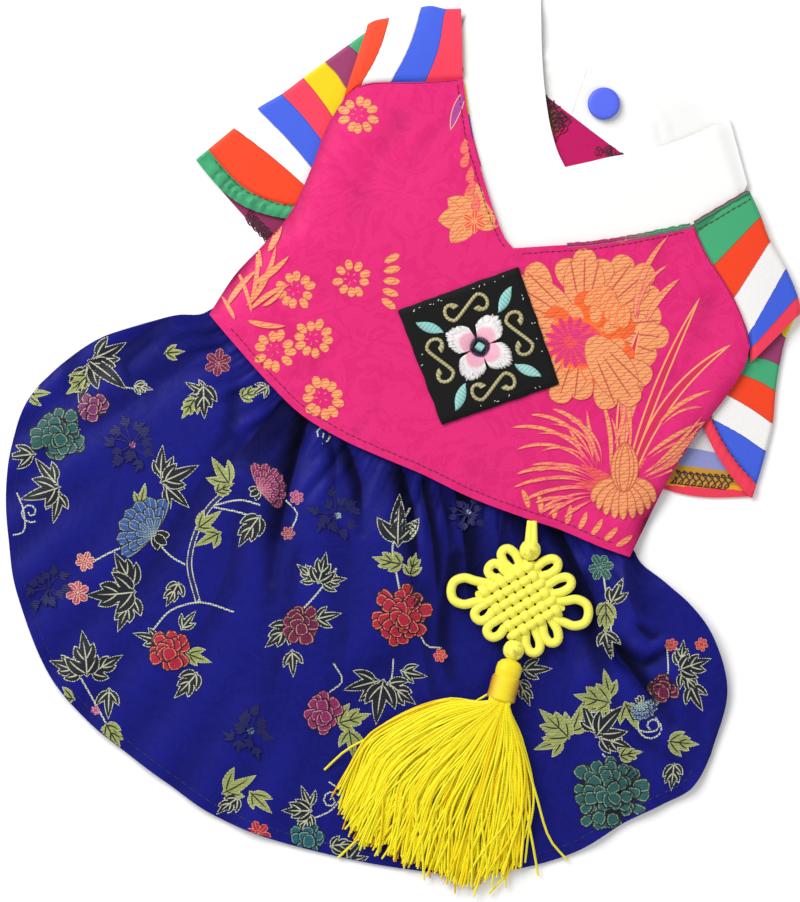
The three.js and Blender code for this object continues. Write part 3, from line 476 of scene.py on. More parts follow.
def maths(operation, swapped=False):
    """A method of Field that adds one Math node."""
    def method(self, other=None):
        return self.math(operation, other, self) if swapped else self.math(operation, self, other)
    return method


class Field:
    """A value that changes over a surface. Python's operators add Math nodes."""

    def __init__(self, finish, socket):
        self.finish, self.socket = finish, socket

    def math(self, operation, first, second):
        node = self.finish.tree.nodes.new("ShaderNodeMath")
        node.operation = operation
        for slot, value in enumerate((first, second)):
            if isinstance(value, Field):
                self.finish.tree.links.new(value.socket, node.inputs[slot])
            elif value is not None:
                node.inputs[slot].default_value = value
        return Field(self.finish, node.outputs[0])

    __add__ = __radd__ = maths("ADD")
    __sub__, __rsub__ = maths("SUBTRACT"), maths("SUBTRACT", swapped=True)
    __mul__ = __rmul__ = maths("MULTIPLY")
    __pow__, __gt__, __lt__ = maths("POWER"), maths("GREATER_THAN"), maths("LESS_THAN")
    sin, fraction, larger = maths("SINE"), maths("FRACT"), maths("MAXIMUM")

    def wave(self, pitch):
        """0 to 1 and back for each pitch."""
        return (self * (2 * pi / pitch)).sin() * 0.5 + 0.5


class Finish:
    """One material: a shader whose fixed values are set on it, and nodes that vary its colour and relief."""

    def __init__(self, name, **fixed):
        self.material = bpy.data.materials.new(name)
        self.material.use_nodes = True
        self.tree = self.material.node_tree
        self.shader = self.tree.nodes["Principled BSDF"]
        for key, value in fixed.items():
            self.shader.inputs[key.replace("_", " ")].default_value = value

    def node(self, kind, settings=None, output=0, **inputs):
        """Adds a node: settings are set first, then inputs by name, given as values or fields."""
        node = self.tree.nodes.new("ShaderNode" + kind)
        for key, value in (settings or {}).items():
            setattr(node, key, value)
        for key, value in inputs.items():
            slot = int(key[1:]) if key[0] == "i" and key[1:].isdigit() else key.replace("_", " ")
            if isinstance(value, Field):
                self.tree.links.new(value.socket, node.inputs[slot])
            else:
                node.inputs[slot].default_value = value
        return Field(self, node.outputs[output])

    def place(self, scale=(1, 1, 1), turn=0):
        """Object coordinates in millimetres, turned and scaled."""
        here = self.node("TexCoord", output=3)
        return self.node("Mapping", Vector=here, Scale=tuple(1000 * s for s in scale), Rotation=(0, 0, turn))

    def axis(self, vector, name="X"):
        return self.node("SeparateXYZ", output="XYZ".index(name), Vector=vector)

    def noise(self, vector, scale, detail=2, distortion=0):
        return self.node("TexNoise", Vector=vector, Scale=scale, Detail=detail, Distortion=distortion)

    def value(self, name):
        return self.node("Attribute", {"attribute_name": name}, output=2)

    def tint(self, name):
        return self.node("Attribute", {"attribute_name": name})

    def uv(self, name):
        return self.axis(self.node("UVMap", {"uv_map": "cloth"}), name)

    def blend(self, share, first, second, how="MIX"):
        """Colour between two colours."""
        return self.node("Mix", {"data_type": "RGBA", "blend_type": how}, output=2, i0=share, i6=first, i7=second)

    def steps(self, share, colours):
        """Hard bands of colour along a value from 0 to 1."""
        node = self.tree.nodes.new("ShaderNodeValToRGB")
        node.color_ramp.interpolation = "CONSTANT"
        stops = node.color_ramp.elements
        while len(stops) < len(colours):
            stops.new(0.5)
        for index, tone in enumerate(colours):
            stops[index].position = index / len(colours)
            stops[index].color = tone
        self.tree.links.new(share.socket, node.inputs[0])
        return Field(self, node.outputs[0])

    def grain(self, scale, size=1, detail=2, turn=0):
        """Noise stretched along the cloth's axes."""
        return self.noise(self.place(scale, turn), size, detail)

    def done(self, base, rough=None, height=None, depth=0.05, strength=0.6):
        """The finished material: colour, roughness and a 0 to 1 height with its depth in millimetres."""
        bump = None
        if height is not None:
            bump = self.node("Bump", Height=height, Distance=depth * MM, Strength=strength)
        for socket, value in (("Base Color", base), ("Roughness", rough), ("Normal", bump)):
            if value is not None:
                self.tree.links.new(value.socket, self.shader.inputs[socket])
        return self.material


def weave(finish, pitch=0.5):
    """Fine warp and weft as a height from 0 to 1."""
    here = finish.place(turn=0.02)
    warp = finish.axis(here, "X").wave(pitch)
    weft = finish.axis(here, "Y").wave(pitch * 1.15)
    return warp * 0.5 + weft * 0.5


FUCHSIA = colour(231, 58, 126)
FUCHSIA_DEEP = colour(206, 36, 104)
BLUE_GROUND = colour(39, 41, 130)
CORAL, RED_ORANGE = colour(250, 70, 95), colour(250, 75, 42)
STRIPE_BLUE, STRIPE_WHITE = colour(72, 102, 226), colour(250, 248, 246)
GREEN, PLUM, STRIPE_YELLOW = colour(74, 174, 122), colour(158, 66, 112), colour(240, 212, 30)


def satin(name, ground, shade, gloss=0.42, tone=0.5):
    """Jacquard satin: a ground with a faint tone-on-tone figure, thread relief, a soft sheen, a painted highlight on
    crests and painted shade in hollows.
    """
    finish = Finish(name, Specular_IOR_Level=0.1, Sheen_Weight=0.01, Sheen_Roughness=0.4)
    here = finish.place()
    swirl = finish.noise(here, 0.055, 2, 2.2)
    figure = ((swirl * 6.2831 * 4).sin() > 0.25) * tone
    grain = finish.grain((0.6, 4, 1))
    blotch = finish.noise(here, 0.02, 1)
    speckle = finish.grain((2.2, 2.2, 1), 1, 3)
    share = figure * 0.4 + grain * 0.2 + blotch * 0.3 + (speckle > 0.56) * 0.22
    cloth = finish.blend(share, ground, shade)
    hollow, crest = finish.value("hollow"), finish.value("crest")
    # painted highlight: crests lightened toward a brighter ground colour
    lit = finish.blend(crest * 0.35, cloth, tuple(min(1, 1.9 * v) for v in ground[:3]) + (1,))
    # painted shade: hollows and fold paths darkened almost to black
    shaded = finish.blend(hollow * 0.97, lit, tuple(0.06 * v for v in shade[:3]) + (1,))
    rough = gloss + figure * 0.1 + grain * 0.06 + hollow * 0.4
    return finish.done(shaded, rough, weave(finish) * 0.6 + grain * 0.4)


def striped(name, colours, inside, inner_first=False):
    """Rainbow-striped cloth: bands along the value "stripe", with a darker line at each join and painted shade where
    the value "hollow" is high.
    """
    finish = Finish(name, Specular_IOR_Level=0.2, Sheen_Weight=0.03, Sheen_Roughness=0.4)
    stripe = finish.value("stripe")
    band = finish.steps(stripe * (1 / len(colours)), colours)
    join = stripe.fraction() < 0.035
    grain = finish.grain((4, 0.6, 1))
    side = finish.value("side")
    hidden = 1 - side if inner_first else side
    # darker with the thread grain, at each join, and with painted shade from the value "hollow"
    dark = grain * 0.16 + join * 0.4 + finish.value("hollow") * 0.6
    shaded = finish.blend(dark, band, colour(90, 60, 80), "MULTIPLY")
    within = finish.steps(finish.value("inner") * (1 / len(inside)), inside) if len(inside) > 1 else inside[0]
    within = finish.blend(grain * 0.3, within, colour(120, 100, 110), "MULTIPLY")
    return finish.done(finish.blend(hidden, shaded, within), 0.46 + grain * 0.08,
                       weave(finish, 0.45) * 0.6 + grain * 0.4)


def plain(name, base, shade, gloss):
    """Plain woven cloth with thread relief and slight unevenness of colour."""
    finish = Finish(name, Specular_IOR_Level=0.18, Sheen_Weight=0.02, Sheen_Roughness=0.5)
    grain = finish.grain((0.8, 3, 1), 1.2)
    cloth = finish.blend(grain * 0.5 + finish.noise(finish.place(), 0.03) * 0.3, base, shade)
    return finish.done(cloth, gloss + grain * 0.08, weave(finish) * 0.7 + grain * 0.3)


def thread(name, base, shade):
    """Sewing or embroidery thread: twisted, so its colour and relief run in slants."""
    finish = Finish(name, Specular_IOR_Level=0.4, Sheen_Weight=0.15)
    twist = finish.axis(finish.place(turn=0.7)).wave(0.35)
    return finish.done(finish.blend(twist * 0.5, base, shade), 0.45 + twist * 0.1, twist, strength=0.7)


def figured(name, mesh_line, mesh_share, broken):
    """Brocade figures: fine threads cross the fill colour, and the line colour is dotted."""
    finish = Finish(name, Specular_IOR_Level=0.3, Sheen_Weight=0.06, Sheen_Roughness=0.4)
    line = (finish.value("edge") < 0).larger(finish.value("vein") < 0)
    slanted, steep = finish.place(turn=-0.62), finish.place(turn=0.35)
    floats = finish.axis(slanted, "Y").wave(0.62)
    speck = finish.grain((1.2, 4, 1), 1, 1, -0.6)
    bends = speck * 0.5
    first = (finish.axis(slanted, "Y") * (1 / 1.25) + bends).fraction() < 0.2
    second = (finish.axis(steep, "X") * (1 / 2.7) + bends * 0.6).fraction() < 0.1
    dots = (finish.axis(slanted, "X").wave(0.9) + finish.axis(slanted, "Y").wave(0.9)) > broken
    crossed = finish.blend(first.larger(second) * mesh_share, finish.tint("fill"), mesh_line)
    woven = finish.blend(floats * 0.14, crossed, mesh_line)
    edged = finish.blend(line * dots, woven, finish.tint("line"))
    return finish.done(edged, 0.55 - speck * 0.08, floats * 0.7 + speck * 0.3, 0.08, 0.7)


def cordage(name, base, shade):
    """Smooth round cord of fine threads laid in a slant, from its own uv."""
    finish = Finish(name, Specular_IOR_Level=0.35, Sheen_Weight=0.2, Sheen_Roughness=0.4)
    slant = (finish.uv("X") + finish.uv("Y") * CORD_TWIST * 3).wave(CORD_TWIST)
    fine = finish.grain((2, 2, 2), 2)
    laid_yarn = finish.blend(slant * 0.35 + fine * 0.35, base, shade)
    return finish.done(laid_yarn, 0.45 + fine * 0.15, slant * 0.6 + fine * 0.4, 0.12)


def tinted(name, twist, gloss, shade, dark):
    """Thread whose colour comes from the value "fill"; its twist shows as slanting bands along it."""
    finish = Finish(name, Specular_IOR_Level=0.4, Sheen_Weight=0.15, Sheen_Roughness=0.35)
    slant = (finish.uv("X") + finish.uv("Y") * twist).wave(twist)
    twisted = finish.blend(slant * (1 - shade), finish.tint("fill"), dark, "MULTIPLY")
    return finish.done(twisted, gloss + slant * 0.1, slant, 0.06, 0.8)


def wound():
    """Yellow thread wound round the head: fine ridges across it, with painted orange shade at its sides."""
    finish = Finish("yellow_wound_thread", Specular_IOR_Level=0.45, Sheen_Weight=0.1)
    turns = finish.value("along").wave(WINDING)
    rim, band = finish.value("rim"), finish.value("band")
    streak = finish.grain((3, 3, 1), 0.8)
    # painted shade: orange toward the head's sides, where rim is high
    share = (rim ** 2.2) * (0.45 + streak * 0.8) * band + (1 - band) * 0.06
    yellow = finish.blend(turns * 0.3, colour(255, 234, 26), colour(250, 206, 14))
    return finish.done(finish.blend(share, yellow, colour(186, 92, 8)), 0.36 + streak * 0.15, turns * band, 0.1, 0.8)


def plastic():
    finish = Finish("blue_snap_plastic", Specular_IOR_Level=0.5, Coat_Weight=0.1)
    cloud = finish.noise(finish.place(), 0.25)
    blue = finish.blend(cloud * 0.3, colour(82, 102, 236), colour(70, 90, 218))
    return finish.done(blue, 0.5 + finish.noise(finish.place(), 1.5) * 0.1)


LEFT_ARM_BANDS = [GREEN, PLUM, STRIPE_YELLOW, CORAL, STRIPE_BLUE, STRIPE_WHITE, RED_ORANGE, GREEN]
RIGHT_ARM_BANDS = [STRIPE_YELLOW, PLUM, GREEN, RED_ORANGE, STRIPE_WHITE, STRIPE_BLUE, CORAL]
CAP_INSIDE = [colour(236, 150, 150)]
RIGHT_ARM_INSIDE = [colour(232, 228, 232), colour(150, 156, 214), colour(206, 156, 60), colour(250, 176, 40), CORAL]
LOOKS = {
    "fuchsia": satin("fuchsia_brocade", FUCHSIA, FUCHSIA_DEEP),
    "belly": satin("pink_belly_cloth", colour(196, 42, 104), colour(172, 30, 86), 0.5, 0),
    "skirt": satin("blue_brocade", BLUE_GROUND, colour(24, 24, 100), 0.46, 0.45),
    "white": plain("white_satin", colour(251, 250, 248), colour(238, 238, 236), 0.5),
    "patch": plain("black_satin", colour(17, 15, 17), colour(10, 8, 11), 0.65),
    "left_cap": striped("stripes_left_cap", [CORAL, STRIPE_BLUE, STRIPE_WHITE, RED_ORANGE], CAP_INSIDE),
    "right_cap": striped("stripes_right_cap", [GREEN, RED_ORANGE, STRIPE_WHITE, STRIPE_BLUE, CORAL], CAP_INSIDE),
    "left_arm": striped("stripes_left_arm", LEFT_ARM_BANDS, [colour(150, 52, 96)]),
    "right_arm": striped("stripes_right_arm", RIGHT_ARM_BANDS, RIGHT_ARM_INSIDE, True),
    "dark_thread": thread("dark_thread", colour(74, 22, 48), colour(30, 8, 22)),
    "blue_thread": thread("blue_thread", colour(24, 20, 90), colour(10, 8, 44)),
    "white_thread": thread("white_thread", colour(240, 240, 238), colour(214, 214, 212)),
    "gold_figures": figured("gold_figures", colour(176, 64, 56), 0.68, 0),
    "skirt_figures": figured("blue_figures", colour(28, 24, 60), 0.35, 0.55),
    "cord": cordage("yellow_cord", colour(255, 253, 112), colour(255, 238, 58)),
    "strands": tinted("yellow_strands", 0.9, 0.42, 0.8, (0.95, 0.55, 0.05, 1)),
    "silk": tinted("embroidery_silk", 0.5, 0.4, 0.85, (0.12, 0.1, 0.08, 1)),
    "wound": wound(),
    "plastic": plastic(),
}

# ---- camera, floor and light


def stage():
    bpy.ops.mesh.primitive_plane_add(size=8)
    floor = bpy.context.object
    floor.name = "floor"
    finish = Finish("floor_paper", Roughness=0.9)
    mottle = finish.noise(finish.place(), 0.01)
    floor.data.materials.append(finish.done(finish.blend(mottle * 0.2, (0.93, 0.93, 0.93, 1), (0.9, 0.9, 0.9, 1))))

    camera = link("camera", bpy.data.cameras.new("camera"))
    camera.data.sensor_fit = "VERTICAL"
    camera.data.sensor_height = 36
    distance = 1.25
    camera.data.lens = 36 * distance / (VIEW_HEIGHT * MM)
    camera.location = (VIEW_CENTRE[0] * MM + SHIFT[0], VIEW_CENTRE[1] * MM + SHIFT[1], distance)
    camera.rotation_euler = (0, 0, radians(VIEW_ROLL))
    camera.data.clip_end = 20
    bpy.context.scene.camera = camera

    world = bpy.data.worlds.new("studio")
    world.use_nodes = True
    world.node_tree.nodes["Background"].inputs[0].default_value = (1, 1, 1, 1)
    world.node_tree.nodes["Background"].inputs[1].default_value = 0.47
    bpy.context.scene.world = world
    for name, size, power, spot in (("key", 0.8, 16, (-0.8, 0.3, 0.8)), ("fill", 1.4, 4.2, (0.9, 0.3, 1.1)),
                                    ("low", 0.5, 1.5, (-0.2, -1, 0.5))):
        lamp = link(name, bpy.data.lights.new(name, "AREA"))
        lamp.data.size = size
        lamp.data.energy = power
        lamp.location = spot
        lamp.rotation_euler = (Vector(spot) * -1).to_track_quat("-Z", "Y").to_euler()
    bpy.context.scene.view_settings.view_transform = "Standard"


# ---- the cloth


def cloth(name, grid, look, values=None, uv=None, wall=CLOTH):
    """A cloth wall that replaces the solid of its name."""
    piece = shell(name + "_cloth", grid, LOOKS[look], grid[..., :2] if uv is None else uv, wall, values or {})
    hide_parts(name)
    return piece


def back_panel():
    """The bodice back, replacing its solid, with turned and topstitched edges."""
    counts, shares = (22, 44, 44, 22), (0, 0.21, 0.47, 0.77, 1)
    waist = spline(WAIST)
    bottom = np.vstack([resample(waist, np.linspace(a, b, n, endpoint=False))
                        for n, a, b in zip(counts, shares, shares[1:])] + [waist[-1:]])
    edges = [spline(t) for t in (LEFT_SEAM, LEFT_NECKLINE, RIGHT_NECKLINE, RIGHT_SEAM)]
    top = np.vstack([resample(e, np.linspace(0, 1, n, endpoint=False)) for n, e in zip(counts, edges)]
                    + [edges[-1][-1:]])
    rows = even(121)
    sides = [resample(spline(np.column_stack([t.x, t.y])), rows) for t in (BACK_LEFT_SIDE, BACK_RIGHT_SIDE)]
    flat = fill(bottom, top, *sides)
    grid = np.dstack([flat, back_height(flat[..., 0], flat[..., 1])])
    # the creases' hollows and crests get painted shade and a painted highlight
    return cloth("bodice_back", grid, "fuchsia", relief_values(grid[..., 2], 5, 1.9))


def belly_panel(side, placket, collar, height, name):
    rows = spline(side)
    outer = resample(rows, even(61))
    u = even(41)[None, :]
    x = mix(outer[:, :1], placket, u)
    low = np.interp(x, WAIST.x, WAIST.y) + SKIRT_TUCK + 1.2
    high = np.interp(x, collar.sx, collar.sy) - 0.15
    share = ((outer[:, 1] - side.y[0]) / (side.y[-1] - side.y[0]))[:, None]
    y = mix(low, high, share)
    return cloth(name, np.dstack([x, y, height(x) + 0 * y]), "belly")


def by_rows(rows, columns, count):
    """Smoothly resampled columns of a section table, each as an upright array."""
    columns = [getattr(rows, name) for name in columns.split()]
    shares, knots = even(count) ** 0.9, even(len(columns[0]))
    path = spline(np.column_stack(columns))
    run = np.concatenate([np.linspace(a, b, 24, endpoint=False) for a, b in zip(knots, knots[1:])] + [[1]])
    return [np.interp(shares, run, path[:, k])[:, None] for k in range(len(columns))]


def collar_band(rows, height, name):
    sx, sy, fx, fy = by_rows(rows, "sx sy fx fy", 90)
    u = even(26)[None, :]
    x, y = mix(sx, fx, u), mix(sy, fy, u)
    z = height(x, y, even(90)[:, None] + 0 * x)
    roll = 0.25 * ease(u, 0.9, 1) + 0 * x
    return cloth(name, np.dstack([x, y, z - roll]), "white")


COLLAR_RUMPLES = [
    (-38.5, 138.7, -32.7, 138.7, -22, 143.2, 0.9, 2.2), (-35.3, 134.6, -28.6, 136, -20.1, 138.5, 0.5, 2),
    (-1.1, 139.4, 4.8, 137.1, 11, 130.7, 1, 2.2), (2.2, 143, 10.5, 138.7, 14.3, 135, 0.6, 2)]


def rumple(x, y):
    return fold_depth(x, y, COLLAR_RUMPLES)


def overlap_collar_height(x, y, _):
    return overlap_height(x) + rumple(x, y)


def back_collar_height(x, y, along):
    puff = 0.25 * ripple(x, y, 9, 11) * ease(along, 0.1, 0.3)
    return mix(SECOND_LAYER + 0.2, COLLAR_HEIGHT, ease(along, 0, 0.11)) - 0.05 - 0.3 * abs(puff)


def stripe_value(x, y, lines, bow=0):
    """Counts the lines that a point has passed, with the share of the way to the next."""
    gaps = []
    for ax, ay, bx, by in lines:
        length = hypot(bx - ax, by - ay)
        share = np.clip(((x - ax) * (bx - ax) + (y - ay) * (by - ay)) / length ** 2, 0, 1)
        gaps.append(((x - ax) * (by - ay) - (y - ay) * (bx - ax)) / length + bow * np.sin(pi * share))
    value = np.maximum(1 + gaps[0] / 12, 0.02)
    for index, gap in enumerate(gaps):
        following = gaps[index + 1] if index + 1 < len(gaps) else gap - 12
        within = np.clip(gap / np.maximum(gap - following, 1e-6), 0, 0.98)
        value = np.where(gap > 0, index + 1 + within, value)
    return value


LEFT_ARM_LINES = [
    (-100.9, 106.4, -96.3, 104.9), (-105, 96.9, -96.4, 93.6), (-109, 88, -93.4, 81.2), (-112.7, 79.2, -93.9, 72.6),
    (-117.4, 70.2, -91.9, 62.1), (-121.7, 60.3, -91.1, 55.5), (-123.4, 52.6, -90, 46.4)]
RIGHT_ARM_LINES = [
    (82.4, 94.9, 85.1, 94.5), (80.3, 82.7, 88.3, 84.7), (79.7, 75.1, 92, 76), (77, 66.1, 96.7, 65.4),
    (78.6, 55.8, 99.7, 55.5), (81.9, 51.2, 101.6, 45.8)]
RIGHT_INNER_LINES = [
    (76.6, 43, 84.2, 45.7), (73.9, 34.8, 89.9, 41.5), (74.3, 28.3, 97.5, 39.2), (73.7, 26.4, 101.3, 39.8)]
LEFT_CAP_LINES = [(-77.4, 132, -71.7, 109.1), (-85.7, 129.7, -82.4, 102.5), (-93.9, 121.6, -91.1, 96.6)]
RIGHT_CAP_LINES = [(50.3, 102.2, 56.4, 126.9), (62.8, 95.7, 63.8, 121.2), (74.1, 90.6, 73.6, 115.2),
                   (77.1, 84, 82.3, 109.5)]


HEM_BAND = 5.2
HEM_PUCKER = 3.6


def sleeve_arm(rows, lines, look, name, first_is_out):
    """One strip from the layer on the floor round the outer fold to the layer above."""
    fx, fy, ux, uy, ox, oy = by_rows(rows, "fx fy ux uy ox oy", 110)
    bow = np.interp(even(110), even(len(rows.bow)), rows.bow)
    lower, upper = ON_FLOOR, SECOND_LAYER + 0.1
    radius = (upper - lower) / 2
    u = even(30)[None, :]
    dip = bow[:, None] * np.sin(pi * u)
    under = np.dstack([mix(ux, fx, u), mix(uy, fy, u) - dip * (0.15 if first_is_out else 1), lower + 0 * dip])
    over = np.dstack([mix(ox, fx, u), mix(oy, fy, u) - dip, upper + 0 * dip])[:, ::-1]
    out = unit(np.column_stack([fx - (ux + ox) / 2, fy - (uy + oy) / 2]))
    angle = np.radians(np.linspace(-75, 75, 7))[None, :]
    turn = np.dstack([fx + out[:, :1] * radius * np.cos(angle), fy + out[:, 1:] * radius * np.cos(angle),
                      lower + radius + radius * np.sin(angle) + 0 * fx])
    grid = np.concatenate([under, turn, over], axis=1)
    stripe = stripe_value(grid[..., 0], grid[..., 1], lines, 0.5)
    inner = stripe_value(grid[..., 0], grid[..., 1], RIGHT_INNER_LINES)
    from_hem = np.linalg.norm(grid[..., :2] - grid[-1:, :, :2], axis=2)
    hem = from_hem < HEM_BAND
    stripe = np.where(hem, len(lines) + 0.5, np.minimum(stripe, len(lines) - 0.02))
    share = np.clip(from_hem / HEM_BAND, 0, 1.5)
    across = run_of(grid[-1, :, :2])[None, :]
    pucker = np.sin(across * 2 * pi / HEM_PUCKER + 1.2 * np.sin(across * 0.4))
    above = ease(grid[..., 2], 1.4, 2)
    ruffle = 1 if first_is_out else 0.25
    grid[..., 2] += above * (0.7 * np.sin(pi * np.clip(share, 0, 1)) * (1 + 0.8 * ruffle * pucker)
                             - 0.35 * np.exp(-((share - 1) / 0.12) ** 2))
    grid[..., 1] += 0.5 * ruffle * pucker * np.clip(1 - share, 0, 1) * ease(from_hem, -1, HEM_BAND) * above
    # painted shade in the troughs of the hem's puckers and in a line just above the hem band
    hollow = above * hem * np.clip(-pucker, 0, 1) * 0.8 * ruffle + above * np.exp(-((share - 1.15) / 0.12) ** 2) * 0.5
    values = {"stripe": stripe, "inner": inner, "hollow": hollow, "keep": True}
    piece = cloth(name, grid, look, values)
    first = grid.shape[1] - 28
    rows = [grid[np.argmin(abs(from_hem[:, j] - HEM_BAND)), j, :2] for j in range(first, grid.shape[1] - 1)]
    return piece, np.array(rows[::2])


def sleeve_cap(rows, lines, look, name, outward):
    sx, sy, fx, fy, sz, fz = by_rows(rows, "sx sy fx fy sz fz", 80)
    seam = np.column_stack([sx - outward * 0.5, sy - 0.6])
    fold = np.column_stack([fx, fy])
    out = unit(fold - seam)
    brink = fold - out * 1.5
    u = even(34)
    flat = mix(seam[:, None], brink[:, None], u[None, :, None])
    z = mix(sz, fz, u[None, :]) + 0.5 * np.sin(pi * u)[None, :]
    far = np.linalg.norm(flat - seam[:, None], axis=2)
    z = z - 1.05 * (1 - ease(far, 0.6, 2.2))
    angle = np.linspace(0.2, 1, 6) * pi / 2
    edge = brink[:, None] + out[:, None] * (1.5 * np.sin(angle))[None, :, None]
    edge_z = fz - 1.9 * (1 - np.cos(angle))[None, :]
    grid = np.dstack([np.concatenate([flat, edge], axis=1), np.concatenate([z, edge_z], axis=1)])
    stripe = stripe_value(grid[..., 0], grid[..., 1], lines, 1.3 if outward < 0 else 0)
    return cloth(name, grid, look, {"stripe": stripe})


def skirt():
    v = np.concatenate([np.linspace(0, 0.3, 44, endpoint=False), np.linspace(0.3, 0.94, 52, endpoint=False),
                        np.linspace(0.94, 1, 12)])
    u = even(421)
    tucked = spline(np.column_stack([WAIST.x, WAIST.y + SKIRT_TUCK]))
    top, hem = resample(tucked, u), resample(spline(SKIRT_HEM), u)
    left, right = resample(spline(SKIRT_LEFT_SIDE), v), resample(spline(SKIRT_RIGHT_SIDE), v)
    flat = fill(top, hem, left, right, v)
    down, around = np.meshgrid(v, u, indexing="ij")
    grid = np.dstack([flat, skirt_height(flat[..., 0], flat[..., 1], down, around)])
    values = relief_values(grid[..., 2])
    # painted shade along the fold paths, joined with a weaker painted shade in the hollows
    shade = fold_shade(flat[..., 0], flat[..., 1], SKIRT_FOLDS)
    values["hollow"] = np.clip(np.maximum(values["hollow"] * 0.6, shade), 0, 1)
    return cloth("skirt", grid, "skirt", values, np.dstack([around * 480, down * 135]))


# ---- thread figures on the cloth

GOLD, ORANGE, DEEP_ORANGE = colour(250, 168, 110), colour(255, 112, 48), colour(250, 84, 60)
PINK_LINE, CORAL_FILL, MAGENTA_FILL = colour(226, 34, 100), colour(248, 80, 96), colour(232, 50, 130)
PALE, BLACK_FILL, OLIVE = colour(200, 204, 176), colour(22, 24, 38), colour(164, 172, 100)
GAP = (BLACK_FILL, BLACK_FILL, 0, 0)
# Fill and outline of each flower.
FLOWERS = {name: (colour(*tones[:3]), colour(*tones[3:])) for name, tones in {
    "red": (186, 40, 62, 226, 128, 100), "magenta": (150, 48, 100, 206, 130, 150),
    "plum": (112, 34, 66, 200, 126, 124), "green": (46, 96, 92, 126, 156, 128),
    "blue": (62, 86, 176, 164, 186, 170), "purple": (128, 56, 108, 200, 140, 146),
    "slate": (60, 92, 156, 150, 168, 160), "pink": (186, 80, 110, 230, 190, 140),
    "teal": (38, 100, 112, 120, 160, 146)}.items()}


